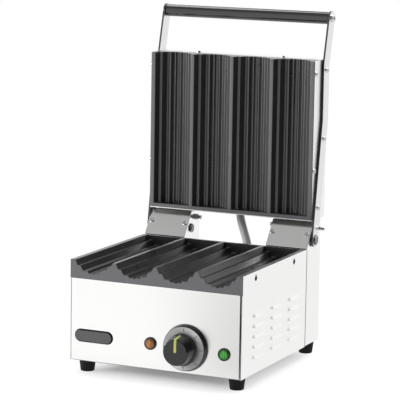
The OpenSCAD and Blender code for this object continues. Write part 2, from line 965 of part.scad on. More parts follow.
module thermostat() {
    color(black) base() on_panel(dial_at) difference() {
        union() {
            translate([0, 0, -sheet_t - thermostat_size[2] / 2]) cube(thermostat_size, center = true);
            translate([0, 0, -sheet_t - 1]) cylinder(d = bushing_d, h = sheet_t + 3);
        }
        translate([0, 0, -sheet_t - 21]) cylinder(d = shaft_d + touch, h = 40);
        for (x = [-dial_screw_x, dial_screw_x])
            translate([x, 0, -sheet_t - 7]) cylinder(d = 4 + 2 * touch, h = 8);
    }
}

module thermostat_screws() {
    color(steel) base() on_panel(dial_at) for (x = [-dial_screw_x, dial_screw_x])
        translate([x, 0, 0]) pan_screw(4, sheet_t + 6);
}

bezel_front_d = bezel_d - 4;
bezel_bore = 16;

module dial_bezel() {
    color(black) base() on_panel(dial_at) difference() {
        cylinder(d1 = bezel_d, d2 = bezel_front_d, h = bezel_h);
        translate([0, 0, -1]) cylinder(d = bezel_d - 10, h = bezel_h - 1.5);
        cylinder(d = bezel_bore, h = bezel_h + 1);
    }
}

module dial_scale() {
    color(steel) base() on_panel(dial_at) translate([0, 0, bezel_h]) difference() {
        cylinder(d = bezel_front_d - 1, h = scale_t);
        translate([0, 0, -1]) cylinder(d = bezel_bore, h = scale_t + 2);
    }
}

knob_grip_d = knob_d - 1.5;
knob_face_d = knob_d - 8.5;
knob_edge = 1.6;
shaft_seat = knob_base + 15;

module control_knob() {
    bore = (shaft_d + 2 * touch) / 2;
    color(black) base() on_panel(dial_at) difference() {
        translate([0, 0, knob_base]) rotate_extrude() polygon([
            [bore, 0],
            [knob_d / 2, 0],
            [knob_d / 2, 3],
            [knob_grip_d / 2, 5],
            [knob_face_d / 2, knob_h - knob_edge],
            [knob_face_d / 2 - knob_edge, knob_h],
            [0, knob_h],
            [0, shaft_seat - knob_base],
            [bore, shaft_seat - knob_base]
        ]);
        pointer_bar(pointer_w + touch, touch / 2);
    }
}

pointer_w = 4;
pointer_t = 0.9;
pointer_foot = 7;

function knob_r(z) = knob_grip_d / 2 + (knob_face_d - knob_grip_d) / 2 * (z - 5) / (knob_h - knob_edge - 5);

// Bent bar laid along the knob's face and down its upper side
module pointer_bar(w, grow) {
    top = pointer_proud;
    under = pointer_t + grow;
    translate([-w / 2, 0, knob_base]) rotate([90, 0, 90]) linear_extrude(height = w) polygon([
        [-grow, knob_h + top],
        [knob_face_d / 2 - knob_edge, knob_h + top],
        [knob_face_d / 2 + top, knob_h - knob_edge],
        [knob_r(pointer_foot) + top, pointer_foot - grow],
        [knob_r(pointer_foot) - under, pointer_foot - grow],
        [knob_face_d / 2 - knob_edge - under / 2, knob_h - under],
        [-grow, knob_h - under]
    ]);
}

module knob_pointer() {
    color("YellowGreen") base() on_panel(dial_at) pointer_bar(pointer_w, 0);
}

module thermostat_shaft() {
    color(steel) base() on_panel(dial_at) translate([0, 0, -sheet_t - 20])
        cylinder(d = shaft_d, h = shaft_seat - touch + sheet_t + 20);
}

lamp_rim = 4.5;
lens_d = lamp_d - 4;
lens_h = 2.2;

// Black barrel with a rim on the panel, and a locknut behind it
module lamp() {
    difference() {
        union() {
            cylinder(d1 = lamp_d, d2 = lamp_d - 1, h = lamp_rim);
            translate([0, 0, -28]) cylinder(d = lamp_hole - 2 * touch, h = 28 + lamp_rim / 2);
            translate([0, 0, -sheet_t - 4]) hex(lamp_hole + 5, 4);
        }
        translate([0, 0, lamp_rim - 1]) cylinder(d = lens_d + 2 * touch, h = 2);
    }
}

// Shallow dome that stands in the barrel's rim
module lens() {
    ball_r = (pow(lens_d / 2, 2) + pow(lens_h, 2)) / (2 * lens_h);
    translate([0, 0, lamp_rim - 1]) intersection() {
        cylinder(d = lens_d, h = lens_h + 1);
        translate([0, 0, lens_h + 1 - ball_r]) sphere(r = ball_r);
    }
}

module amber_lamp() {
    color(black) base() on_panel(amber_at) lamp();
}

module amber_lens() {
    color("Peru") base() on_panel(amber_at) lens();
}

module green_lamp() {
    color(black) base() on_panel(green_at, green_drop) lamp();
}

module green_lens() {
    color("ForestGreen") base() on_panel(green_at, green_drop) lens();
}

badge_t = 2.5;
badge_border = 1.4;

module badge_plate() {
    color(black) base() on_panel(badge_at) difference() {
        linear_extrude(height = badge_t) pill(badge_l, badge_w);
        translate([0, 0, badge_t - 0.4]) linear_extrude(height = 1)
            pill(badge_l - 2 * badge_border, badge_w - 2 * badge_border);
    }
}

// Feet and inner pieces

foot_recess_h = 0.5 * foot_h;

module foot(x, y) {
    color(black) base() translate([x, y, 0]) difference() {
        cylinder(d1 = 0.8 * foot_d, d2 = foot_d, h = foot_h);
        translate([0, 0, -1]) cylinder(d = 0.5 * foot_d, h = foot_recess_h + 1);
        cylinder(d = foot_screw_d + 2 * touch, h = foot_h + 1);
    }
}

module foot_front_left() {
    foot(-foot_x, foot_y[0]);
}

module foot_front_right() {
    foot(foot_x, foot_y[0]);
}

module foot_rear_left() {
    foot(-foot_x, foot_y[1]);
}

module foot_rear_right() {
    foot(foot_x, foot_y[1]);
}

module foot_screws() {
    color(steel) base() at_feet() translate([0, 0, foot_recess_h]) rotate([180, 0, 0])
        pan_screw(foot_screw_d, foot_h - foot_recess_h + sheet_t + 6);
}

terminal_count = 6;
terminal_pitch = 10;
terminal_d = 22;
terminal_h = 18;
terminal_bore = 5;
terminal_floor = 6;
terminal_x = -20;
terminal_back = 45;

module terminal_block() {
    size = [(terminal_count + 0.6) * terminal_pitch, terminal_d, terminal_h];
    color("Beige") base() translate([terminal_x, rear_y - terminal_back, foot_h + sheet_t]) difference() {
        cube(size);
        for (i = [0 : terminal_count - 1])
            translate([(i + 0.8) * terminal_pitch, size[1] / 2, terminal_floor])
                cylinder(d = terminal_bore, h = size[2]);
    }
}

front_panel();
left_side_panel();
right_side_panel();
bottom_plate();
rear_panel();
rear_deck();
left_hinge_housing();
right_hinge_housing();
left_hinge_cover();
right_hinge_cover();
hinge_cover_screws();
lower_plate();
plate_pins();
lower_element();
lower_clamps();
lower_clamp_screws();
thermostat();
thermostat_screws();
dial_bezel();
dial_scale();
amber_lamp();
amber_lens();
green_lamp();
green_lens();
badge_plate();
foot_front_left();
foot_front_right();
foot_rear_left();
foot_rear_right();
foot_screws();
terminal_block();
left_pivot_bolt();
right_pivot_bolt();
pivot_nuts();
left_stop_stud();
right_stop_stud();
stop_stud_nuts();
base_conduit_gland();
flexible_conduit();
mains_gland();
lid_cover();
upper_plate();
upper_element();
upper_clamps();
upper_clamp_screws();
left_arm();
right_arm();
handle_grip();
handle_rod();
handle_screws();
arm_screws();
lid_side_screws();
lid_front_screws();
lid_conduit_gland();
control_knob();
knob_pointer();
thermostat_shaft();
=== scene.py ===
"""Looks of a hot dog contact grill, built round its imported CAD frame.

Metres, in the frame's own axes: X is the width, Y runs from the front to the back, Z is up.
"""

import math

import bmesh
import bpy
from mathutils import Matrix, Vector


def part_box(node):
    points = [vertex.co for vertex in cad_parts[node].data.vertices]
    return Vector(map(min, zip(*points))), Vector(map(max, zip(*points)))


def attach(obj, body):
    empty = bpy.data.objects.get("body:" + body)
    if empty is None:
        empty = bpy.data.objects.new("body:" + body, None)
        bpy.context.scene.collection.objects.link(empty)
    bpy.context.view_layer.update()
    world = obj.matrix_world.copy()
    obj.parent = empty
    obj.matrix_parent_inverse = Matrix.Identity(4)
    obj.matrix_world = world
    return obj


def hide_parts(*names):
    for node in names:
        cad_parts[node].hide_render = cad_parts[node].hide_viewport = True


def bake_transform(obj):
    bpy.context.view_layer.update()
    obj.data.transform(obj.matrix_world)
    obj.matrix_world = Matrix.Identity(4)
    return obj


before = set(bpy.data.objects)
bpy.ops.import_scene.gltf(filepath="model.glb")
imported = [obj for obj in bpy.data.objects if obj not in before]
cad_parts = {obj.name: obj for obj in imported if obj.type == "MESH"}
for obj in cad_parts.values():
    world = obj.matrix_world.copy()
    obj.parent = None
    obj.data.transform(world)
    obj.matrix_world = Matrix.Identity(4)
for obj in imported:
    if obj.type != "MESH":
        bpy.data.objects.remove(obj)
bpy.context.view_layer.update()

bl_info = {
    "name": "Hot dog contact grill",
    "version": (1, 0, 0),
    "blender": (4, 5, 0),
    "location": "3D View > Sidebar > Grill",
    "description": "Builds the looks of a hot dog contact grill round its CAD frame",
    "category": "Object",
}

MM = 0.001


def linear(hex_code):
    """sRGB hex to linear RGBA."""
    channels = [int(hex_code[i:i + 2], 16) / 255 for i in (1, 3, 5)]
    return tuple(c / 12.92 if c <= 0.04045 else ((c + 0.055) / 1.055) ** 2.4 for c in channels) + (1.0,)


def length(name, description, mm):
    return bpy.props.FloatProperty(name=name, description=description, default=mm * MM, min=0, unit="LENGTH")


def colour(name, description, hex_code):
    return bpy.props.FloatVectorProperty(
        name=name, description=description, default=linear(hex_code), size=4, min=0, max=1, subtype="COLOR")


def angle(name, description, degrees):
    return bpy.props.FloatProperty(
        name=name, description=description, default=math.radians(degrees), subtype="ANGLE")


def power(name, description, watts):
    return bpy.props.FloatProperty(
        name=name, description=description, default=watts, min=0, subtype="POWER", unit="POWER")


class GrillSizes(bpy.types.PropertyGroup):
    """Sizes that only the looks have; the rest come from the frame."""

    sheet_edge: length("Sheet edge", "Radius of the broken edges of the steel sheets", 0.35)
    bend: length("Sheet bend", "Outer radius of the bent hinge covers", 2.4)
    bar_edge: length("Arm edge", "Radius of the arms' broken edges", 0.6)
    fastener_edge: length("Fastener edge", "Radius of the edges of screws, nuts and bolts", 0.3)
    pitch: length("Pitch", "Distance between two troughs", 67.175)
    land: length("Land", "Flat land between two troughs", 5.7)
    trough_depth: length("Trough depth", "Depth of a trough under the plate's face", 20.5)
    plate_rim: length("Plate rim", "Rim that closes the troughs at the hinge end", 5.5)
    end_round: length("Trough end", "Round where a trough meets the rim that closes it", 1)
    rib_round: length("Rib edge", "Radius of the cast ribs' edges", 1.2)
    groove_round: length("Groove", "Radius at the bottom of the cast grooves", 0.4)
    plate_step: length("Plate step", "How far a plate's lip or flange stands out at each side", 1.5)
    lip: length("Lip", "Thickness of the lower plate's front lip", 1.2)
    flange: length("Flange", "Thickness of the flange round the upper plate's face", 0.8)
    cover_run: length("Cover run", "Depth of a hinge cover's slope", 28.6)
    cover_rise: length("Cover rise", "Height of a hinge cover's slope", 37)
    sheet: length("Sheet", "Thickness of the steel sheet", 1.2)
    panel_shift: length("Panel shift", "How far the front panel sits to the left of the middle", 0.7)
    seam: length("Seam", "Gap between a side panel and the hinge housing behind it", 1.2)
    knob_draw: length("Knob side", "How far the knob's side is drawn in above its skirt", 1.2)
    badge_rim: length("Badge rim", "Width of the badge's sloping rim", 2.1)
    digit: length("Dial figure", "Height of the figures on the dial", 4.6)
    figures: length("Dial ring", "Radius of the ring of figures", 28.2)


class GrillColours(bpy.types.PropertyGroup):
    """Base colours of the finishes."""

    stainless: colour("Stainless", "Brushed stainless sheet", "#F8F8F7")
    bar_steel: colour("Bar steel", "Satin steel arms", "#E8E8E7")
    # Darker than the sheet; on seams and the front panel's foot this stands for painted shade
    cut_edge: colour("Cut edge", "Laser-cut edges of the steel", "#9C9C9C")
    # Painted shade: the arms' edges are darker than their faces
    sheared_edge: colour("Sheared edge", "Sheared edges of the arms", "#4E4F51")
    # Painted shade: darkens the lid's downward-facing walls
    heat_dulled: colour("Painted shade", "Stainless wall beside the hot plate", "#858483")
    bright_bar: colour("Bright bar", "Turned steel of the pivots", "#767778")
    zinc: colour("Zinc", "Plated fasteners", "#DADCDC")
    nonstick: colour("Non-stick", "Coating of the cast plates", "#4F4F50")
    # Painted paler: wear and painted sheen on the lands, painted highlights on the ribs' edges
    nonstick_worn: colour("Pale coating", "Coating where the plates meet", "#737375")
    element: colour("Element", "Annealed heater tube", "#4A4642")
    moulding: colour("Moulding", "Black moulded polyamide", "#1B1B1C")
    badge: colour("Badge", "Face of the badge plate", "#5E5E60")
    knob: colour("Knob", "Knob of phenolic moulding", "#27272A")
    pointer: colour("Pointer", "Inlaid pointer", "#C9CF6A")
    dial: colour("Dial", "Spun aluminium of the dial", "#D3D3D2")
    dial_ink: colour("Dial print", "Figures printed on the dial", "#2A2A2A")
    # The lenses' middle colours deepen to their rim colours as painted shade
    amber: colour("Amber", "Amber lamp lens, in its middle", "#A8733F")
    amber_rim: colour("Amber rim", "Amber lamp lens at its rim", "#4F2C12")
    green: colour("Green", "Green lamp lens, in its middle", "#3FAE3C")
    green_rim: colour("Green rim", "Green lamp lens at its rim", "#0E3A14")
    grip: colour("Grip", "Phenolic handle grip", "#161617")
    rubber: colour("Rubber", "Moulded rubber feet", "#111112")
    conduit: colour("Conduit", "Sleeve of the conduit", "#C6C6C4")
    ceramic: colour("Ceramic", "Steatite terminal block", "#E6DFCC")
    floor: colour("Floor", "Studio floor", "#F7F7F7")


class GrillStage(bpy.types.PropertyGroup):
    """Camera and light."""

    azimuth: angle("Azimuth", "Camera's turn to the right", 24.63)
    elevation: angle("Elevation", "Camera's rise", 9.24)
    roll: angle("Roll", "Camera's turn about its view", 0.935)
    target: bpy.props.FloatVectorProperty(
        name="Target", description="Point in the middle of the picture", size=3,
        default=(1.59 * MM, 2.35 * MM, 252.34 * MM), subtype="TRANSLATION", unit="LENGTH")
    distance: bpy.props.FloatProperty(
        name="Distance", description="Camera to target", default=3.306, unit="LENGTH")
    lens: bpy.props.FloatProperty(
        name="Lens", description="Focal length in millimetres on a 36 mm sensor", default=196.05)
    world_light: bpy.props.FloatProperty(
        name="World light", description="Strength of the even light from all round", default=0.8, min=0)
    key: power("Key", "Power of the softbox at the left", 26)
    top: power("Top", "Power of the softbox overhead", 30)
    strip: power("Strip", "Power of the softbox high at the left", 9)


def sizes():
    return bpy.context.scene.grill_sizes


def colours():
    return bpy.context.scene.grill_colours


def stage_settings():
    return bpy.context.scene.grill_stage


# Materials


def add(tree, kind, values=None, links=None, **settings):
    """Adds a node with its settings, its constant inputs and its links."""
    node = tree.nodes.new(kind)
    for key, value in settings.items():
        setattr(node, key, value)
    for key, value in (values or {}).items():
        node.inputs[key].default_value = value
    for key, output in (links or {}).items():
        tree.links.new(output, node.inputs[key])
    return node


def material(name, build):
    """A material by name, built once."""
    found = bpy.data.materials.get(name)
    if found:
        return found
    made = bpy.data.materials.new(name)
    made.use_nodes = True
    made.node_tree.nodes.clear()
    shader = build(made.node_tree)
    add(made.node_tree, "ShaderNodeOutputMaterial", links={"Surface": shader.outputs[0]})
    return made


def surface_noise(tree, size, detail=3.0, roughness=0.5):
    """Noise fixed to the piece, with its grain size in metres along X, Y and Z."""
    place = add(tree, "ShaderNodeTexCoord")
    scaled = add(tree, "ShaderNodeMapping", {"Scale": tuple(1 / s for s in size)},
                 {"Vector": place.outputs["Object"]})
    return add(tree, "ShaderNodeTexNoise", {"Scale": 1.0, "Detail": detail, "Roughness": roughness},
               {"Vector": scaled.outputs["Vector"]}).outputs["Fac"]


def spread(tree, value, low, high):
    """Turns noise into the span between low and high."""
    return add(tree, "ShaderNodeMapRange",
               {"From Min": 0.25, "From Max": 0.75, "To Min": low, "To Max": high},
               {"Value": value}).outputs["Result"]


def shaded(tree, value, base, low, high):
    """Base colour between low and high times itself, by the noise."""
    return add(tree, "ShaderNodeMix", {"A": tuple(c * low for c in base[:3]) + (1,),
                                       "B": tuple(min(1, c * high) for c in base[:3]) + (1,)},
               {"Factor": value}, data_type="RGBA").outputs["Result"]


BRUSH_LENGTH = 70 * MM
# Brush lines are about 0.15 mm apart, too fine for the picture, and are drawn ten times as coarse
BRUSH_SPACING = 1.5 * MM


def brushed_stainless(along, dull=0.2):
    """Stainless sheet, finely brushed one way: clear soft reflections that streak along the brushing."""
    def build(tree):
        grain = [BRUSH_SPACING] * 3
        grain["XYZ".index(along)] = BRUSH_LENGTH
        streaks = surface_noise(tree, grain, 4, 0.6)
        clouds = surface_noise(tree, (60 * MM,) * 3, 2)
        return add(tree, "ShaderNodeBsdfPrincipled", {"Metallic": 1.0}, {
            "Base Color": shaded(tree, streaks, colours().stainless, 0.985, 1.01),
            "Roughness": add(tree, "ShaderNodeMath", links={
                0: spread(tree, streaks, dull - 0.02, dull + 0.02),
                1: spread(tree, clouds, -0.015, 0.015)}).outputs["Value"],
        })
    return material(("Brushed" if dull < 0.3 else "Matt brushed") + " stainless sheet along " + along, build)


def satin_bar():
    """Cold rolled flat bar with a ground satin face: even grey sheen, a little rougher than the sheet."""
    def build(tree):
        grind = surface_noise(tree, (2 * MM, 2 * MM, 50 * MM), 3)
        return add(tree, "ShaderNodeBsdfPrincipled", {"Metallic": 1.0}, {
            "Base Color": shaded(tree, grind, colours().bar_steel, 0.95, 1.02),
            "Roughness": spread(tree, grind, 0.26, 0.36),
            "Normal": add(tree, "ShaderNodeBump", {"Strength": 1.0, "Distance": 0.004 * MM},
                          {"Height": grind}).outputs["Normal"],
        })
    return material("Ground flat bar steel", build)


def bare_metal(name, grain, detail, base, tone, roughness):
    """Metal whose colour and roughness follow one noise of the given grain."""
    def build(tree):
        noise = surface_noise(tree, grain, detail)
        return add(tree, "ShaderNodeBsdfPrincipled", {"Metallic": 1.0}, {
            "Base Color": shaded(tree, noise, base, *tone),
            "Roughness": spread(tree, noise, *roughness),
        })
    return material(name, build)


def cut_edge():
    """Laser-cut edge of the sheets: dull beside the polished faces, with fine striations; where it lines a
    seam or a foot it is painted dark as shade.
    """
    return bare_metal("Laser-cut steel edge", (0.9 * MM,) * 3, 2, colours().cut_edge,
                      (0.8, 1.2), (0.42, 0.55))


def sheared_edge():
    """Sheared edge of the flat bar: dull, and painted dark as shade beside the ground faces."""
    return bare_metal("Steel bar edge painted dark as shade", (0.9 * MM,) * 3, 2, colours().sheared_edge,
                      (0.8, 1.2), (0.42, 0.55))


def heat_dulled():
    """Stainless sheet painted dark as shade on the lid's downward walls: dark and soft beside the brushed
    sheets.
    """
    return bare_metal("Stainless sheet painted dark as shade", (25 * MM, 8 * MM, 8 * MM), 3, colours().heat_dulled,
                      (0.8, 1.2), (0.45, 0.6))


def zinc_plate():
    """Bright zinc plated steel: small clear highlights with a faint mottle."""
    return bare_metal("Bright zinc plated steel", (0.8 * MM,) * 3, 3, colours().zinc,
                      (0.85, 1.05), (0.12, 0.2))


def bright_bar():
    """Bright drawn steel bar, turned: a grey sheen that darkens to the sides of the round."""
    return bare_metal("Bright drawn steel bar", (0.6 * MM, 4 * MM, 4 * MM), 3, colours().bright_bar,
                      (0.85, 1.1), (0.14, 0.22))


def heater_tube():
    """Annealed nickel alloy tube: dark straw grey, dull."""
    return bare_metal("Annealed heater tube", (5 * MM,) * 3, 3, colours().element, (0.8, 1.2), (0.45, 0.6))


def nonstick_cast():
    """Die-cast aluminium under a sprayed non-stick coat: near black, with a low satin gloss and orange peel.
    The flat lands, where the two plates meet and are wiped, are paler from wear and painted sheen; the
    plates' open ends carry painted sheen, and the ribs' edges and the troughs' rounded ends painted
    highlights."""
    def build(tree):
        peel = surface_noise(tree, (1.6 * MM,) * 3, 2)
        patch = surface_noise(tree, (24 * MM,) * 3, 3)
        wear_and_sheen = add(tree, "ShaderNodeAttribute", attribute_name="wear_and_sheen").outputs["Fac"]
        # Faces marked paler take the pale coat: wear on the lands, painted sheen and highlights elsewhere
        tint = add(tree, "ShaderNodeMix", links={
            "Factor": wear_and_sheen, "A": shaded(tree, patch, colours().nonstick, 0.9, 1.12),
            "B": shaded(tree, patch, colours().nonstick_worn, 0.94, 1.06)},
            data_type="RGBA").outputs["Result"]
        return add(tree, "ShaderNodeBsdfPrincipled", {"Metallic": 0.78}, {
            "Base Color": tint,
            "Roughness": spread(tree, patch, 0.26, 0.34),
            "Normal": add(tree, "ShaderNodeBump", {"Strength": 0.5, "Distance": 0.015 * MM},
                          {"Height": peel}).outputs["Normal"],
        })
    return material("Non-stick coated cast aluminium", build)


def moulded(name, base, roughness, texture, gloss=0.5):
    """Moulded plastic with a fine texture: an even colour with a highlight as soft as it is rough."""
    def build(tree):
        grain = surface_noise(tree, (texture,) * 3, 2)
        broad = surface_noise(tree, (15 * MM,) * 3, 2)
        return add(tree, "ShaderNodeBsdfPrincipled", {"IOR": 1.53, "Specular IOR Level": gloss}, {
            "Base Color": shaded(tree, broad, base, 0.9, 1.12),
            "Roughness": spread(tree, broad, roughness - 0.04, roughness + 0.04),
            "Normal": add(tree, "ShaderNodeBump", {"Strength": 0.7, "Distance": 0.015 * MM},
                          {"Height": grain}).outputs["Normal"],
        })
    return material(name, build)


def black_moulding():
    """Injection moulded polyamide: black, with a broad soft highlight."""
    return moulded("Moulded black polyamide", colours().moulding, 0.34, 0.7 * MM)


def knob_moulding():
    """Phenolic moulding, polished: black, with clear highlights."""
    return moulded("Moulded phenolic knob, polished side", colours().moulding, 0.12, 2.5 * MM)


def knob_face():
    """Phenolic moulding from a spark-eroded mould: matt dark grey."""
    return moulded("Moulded phenolic knob, textured face", colours().knob, 0.45, 0.5 * MM)


def badge_face():
    """Injection moulded ABS: satin dark grey."""
    return moulded("Moulded satin grey ABS", colours().badge, 0.42, 0.8 * MM)


def badge_rim():
    """Injection moulded ABS: black, with hardly any gloss."""
    return moulded("Moulded matt black ABS", colours().rubber, 0.5, 0.8 * MM, 0.25)


def grip_phenolic():
    """Phenolic rod, turned and polished: black, with clear bright bands along its length."""
    return moulded("Turned phenolic grip", colours().grip, 0.08, 2.5 * MM, 0.9)


def foot_rubber():
    """Moulded nitrile rubber: dull black."""
    return moulded("Moulded nitrile rubber", colours().rubber, 0.6, 0.6 * MM, 0.2)


def pointer_inlay():
    """Two-shot moulded ABS inlay: even yellow-green, slightly shiny."""
    return moulded("Two-shot ABS inlay", colours().pointer, 0.38, 0.6 * MM)


def from_axis(tree, node):
    """Place round a node's axis through the front panel, in X and Z, and its distance from the axis."""
    place = add(tree, "ShaderNodeTexCoord").outputs["Object"]
    for step, value in (("SUBTRACT", tuple(centre(node))), ("MULTIPLY", (1, 0, 1))):
        place = add(tree, "ShaderNodeVectorMath", {1: value}, {0: place}, operation=step).outputs["Vector"]
    return place, add(tree, "ShaderNodeVectorMath", links={0: place}, operation="LENGTH").outputs["Value"]


# Angle above the X axis at which the painted highlights lie on the spun dial, with painted shade across it
DIAL_LIGHT = math.radians(47)


def spun_aluminium():
    """Aluminium disc turned on its face: fine rings, with pale and dark wedges painted in as highlights and
    shade.
    """
    def build(tree):
        place, radius = from_axis(tree, "dial_scale")
        # Turning marks are about 0.1 mm apart, and are drawn 0.9 mm apart to show
        rings = add(tree, "ShaderNodeTexNoise", {"Scale": 1 / (0.9 * MM), "Detail": 3.0},
                    {"W": radius}, noise_dimensions="1D").outputs["Fac"]
        # Painted highlight and shade: the colour is paler along DIAL_LIGHT and darker across it, fixed to the
        # disc
        way = add(tree, "ShaderNodeVectorMath", links={0: place}, operation="NORMALIZE").outputs["Vector"]
        pale = (math.cos(DIAL_LIGHT), 0, math.sin(DIAL_LIGHT))
        lean = add(tree, "ShaderNodeVectorMath", {1: pale}, {0: way},
                   operation="DOT_PRODUCT").outputs["Value"]
        lean = add(tree, "ShaderNodeMath", links={0: lean}, operation="ABSOLUTE").outputs["Value"]
        painted_wedges = add(tree, "ShaderNodeMath", {1: 3.0}, {0: lean}, operation="POWER").outputs["Value"]
        tint = add(tree, "ShaderNodeMix", {"Factor": 0.8}, {
            "A": shaded(tree, rings, colours().dial, 0.8, 1.1),
            "B": add(tree, "ShaderNodeMix", {"A": tuple(0.6 * c for c in colours().dial[:3]) + (1,),
                                             "B": (1, 1, 1, 1)},
                     {"Factor": painted_wedges}, data_type="RGBA").outputs["Result"]},
            data_type="RGBA").outputs["Result"]
        around = add(tree, "ShaderNodeTangent", direction_type="RADIAL", axis="Y")
        return add(tree, "ShaderNodeBsdfPrincipled", {
            "Metallic": 0.4, "Anisotropic": 0.8, "Anisotropic Rotation": 0.25}, {
            "Base Color": tint,
            "Roughness": spread(tree, rings, 0.38, 0.46),
            "Tangent": around.outputs["Tangent"],
        })
    return material("Spun aluminium dial", build)


def dial_ink():
    """Screen printed ink: flat dark grey, slightly uneven."""
    return moulded("Screen printed dial ink", colours().dial_ink, 0.5, 0.4 * MM)


def lamp_lens(name, node, base, rim):
    """Moulded polycarbonate lens, prismed inside: streaks painted pale as glints, and painted shade at the
    rim.
    """
    def build(tree):
        prisms = spread(tree, surface_noise(tree, (1.4 * MM, 3 * MM, 7 * MM), 2), 0, 1)
        _, radius = from_axis(tree, node)
        low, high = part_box(node)
        width = high.x - low.x
        # Painted shade: the colour deepens from the middle of the lens to its rim
        deep = add(tree, "ShaderNodeMapRange", {"From Min": 0.18 * width, "From Max": 0.54 * width},
                   {"Value": radius}, interpolation_type="SMOOTHSTEP").outputs["Result"]
        # Painted glints: the prisms' streaks run from darker to twice as pale as the lens colour
        tint = add(tree, "ShaderNodeMix", links={
            "Factor": deep, "A": shaded(tree, prisms, base, 0.4, 2.0),
            "B": shaded(tree, prisms, rim, 0.7, 1.3)}, data_type="RGBA").outputs["Result"]
        return add(tree, "ShaderNodeBsdfPrincipled", {"IOR": 1.58, "Specular IOR Level": 0.35}, {
            "Base Color": tint,
            "Roughness": spread(tree, prisms, 0.12, 0.25),
            "Normal": add(tree, "ShaderNodeBump", {"Strength": 0.4, "Distance": 0.2 * MM},
                          {"Height": prisms}).outputs["Normal"],
        })
    return material(name, build)


def conduit_sleeve():
    """Steel conduit under a smooth grey PVC sleeve: soft lengthwise highlights."""
    def build(tree):
        scuff = surface_noise(tree, (4 * MM, 4 * MM, 12 * MM), 3)
        return add(tree, "ShaderNodeBsdfPrincipled", {"IOR": 1.53}, {
            "Base Color": shaded(tree, scuff, colours().conduit, 0.92, 1.06),
            "Roughness": spread(tree, scuff, 0.26, 0.36),
        })
    return material("PVC sleeved conduit", build)


def ceramic():
    """Fired steatite: chalky cream."""
    return moulded("Fired steatite", colours().ceramic, 0.6, 1.2 * MM)


# Shapes


def centre(node):
    low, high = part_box(node)
    return (low + high) / 2


def round_path(points, radius, steps=3, closed=True):
    """A 2D path with each corner rounded by its own radius, and the corner each new point comes from."""
    made, corners = [], []
    count = len(points)
    for i, (point, r) in enumerate(zip(points, radius)):
        p = Vector(point)
        if r <= 0 or (not closed and i in (0, count - 1)):
            made.append(p)
            corners.append(i)
            continue
        back, ahead = Vector(points[i - 1]) - p, Vector(points[(i + 1) % count]) - p
        cut = min(r / math.tan(back.angle(ahead) / 2), 0.45 * back.length, 0.45 * ahead.length)
        a, b = p + back.normalized() * cut, p + ahead.normalized() * cut
        for k in range(steps + 1):
            t = k / steps
            made.append((1 - t) ** 2 * a + 2 * t * (1 - t) * p + t ** 2 * b)
            corners.append(i)
    return made, corners


def bridge(bm, a, b):
    """Joins two rings of vertices with quads."""
    for j in range(len(a)):
        k = (j + 1) % len(a)
        bm.faces.new((a[j], a[k], b[k], b[j]))


def loft(bm, rings):
    """Joins rings of points with quads, and closes the first and last ring."""
    made = [[bm.verts.new(p) for p in ring] for ring in rings]
    for a, b in zip(made, made[1:]):
        bridge(bm, a, b)
    bm.faces.new(made[0])
    bm.faces.new(list(reversed(made[-1])))


def turned_ring(profile, segments, place):
    """Turns a closed profile of (radius, height) about the Z axis of place."""
    bm = bmesh.new()
    turns = [2 * math.pi * j / segments for j in range(segments)]
    made = [[bm.verts.new(place @ Vector((radius * math.cos(a), radius * math.sin(a), height)))
             for a in turns] for radius, height in profile]
    for a, b in zip(made, made[1:] + made[:1]):
        bridge(bm, a, b)
    return bm


def cad_mesh(node):
    """The node's own mesh with its flat faces made whole, ready for a bevel."""
    bm = bmesh.new()
    bm.from_mesh(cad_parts[node].data)
    bmesh.ops.remove_doubles(bm, verts=bm.verts[:], dist=2e-6)
    bmesh.ops.dissolve_limit(bm, angle_limit=math.radians(0.4), verts=bm.verts[:], edges=bm.edges[:],
                             use_dissolve_boundaries=False)
    return bm


def piece(name, bm, body, finish, nodes, edge=0.0, smooth=30.0):
    """Makes a piece of the mesh: its finish, its broken edges, its body and the nodes it stands for."""
    bmesh.ops.recalc_face_normals(bm, faces=bm.faces[:])
    data = bpy.data.meshes.new(name)
    bm.to_mesh(data)
    bm.free()
    data.shade_smooth()
    data.set_sharp_from_angle(angle=math.radians(smooth))
    made = bpy.data.objects.new(name, data)
    bpy.context.scene.collection.objects.link(made)
    for one in finish if isinstance(finish, list) else [finish]:
        data.materials.append(one)
    if edge > 0:
        broken = made.modifiers.new("Broken edges", "BEVEL")
        broken.width = edge
        broken.segments = 3
        broken.limit_method = "ANGLE"
        broken.angle_limit = math.radians(32)
        even = made.modifiers.new("Even shading", "WEIGHTED_NORMAL")
        even.keep_sharp = True
    if body:
        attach(made, body)
    if nodes:
        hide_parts(*nodes)
    return made


def cad_piece(node, body, finish, edge, second=None, change=None):
    """A piece of the node's own shape. second tells which faces take the second finish, and change edits
    the mesh."""
    bm = cad_mesh(node)
    if change:
        change(bm)
    bm.normal_update()
    if second:
        for face in bm.faces:
            face.material_index = int(second(face))
    return piece(node + ".look", bm, body, finish, [node], edge)


def sheet_piece(node, finish, second=None, change=None, body="base"):
    """A piece of stainless sheet with broken edges."""
    cad_piece(node, body, finish, sizes().sheet_edge, second, change)


def paint(node, finish):
    """A node that keeps its CAD shape gets a finish."""
    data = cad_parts[node].data
    data.materials.clear()
    data.materials.append(finish)


def out_of_front(point):
    """Place of a piece that stands out of the front panel, with its Z axis to the front and its Y axis up."""
    return Matrix.Translation(point) @ Matrix.Rotation(math.radians(90), 4, "X")


class GrillOperator:
    """What the operators share: each one builds its pieces or raises an error."""
    bl_options = {"REGISTER", "UNDO"}

    def execute(self, context):
        self.build()
        return {"FINISHED"}


# Stage


# Half width and half depth of the floor under the body that keeps its shadow, and where the shadow is gone
SHADED_FLOOR = (0.09, 0.1, 0)
SHADOW_FADE = 0.075


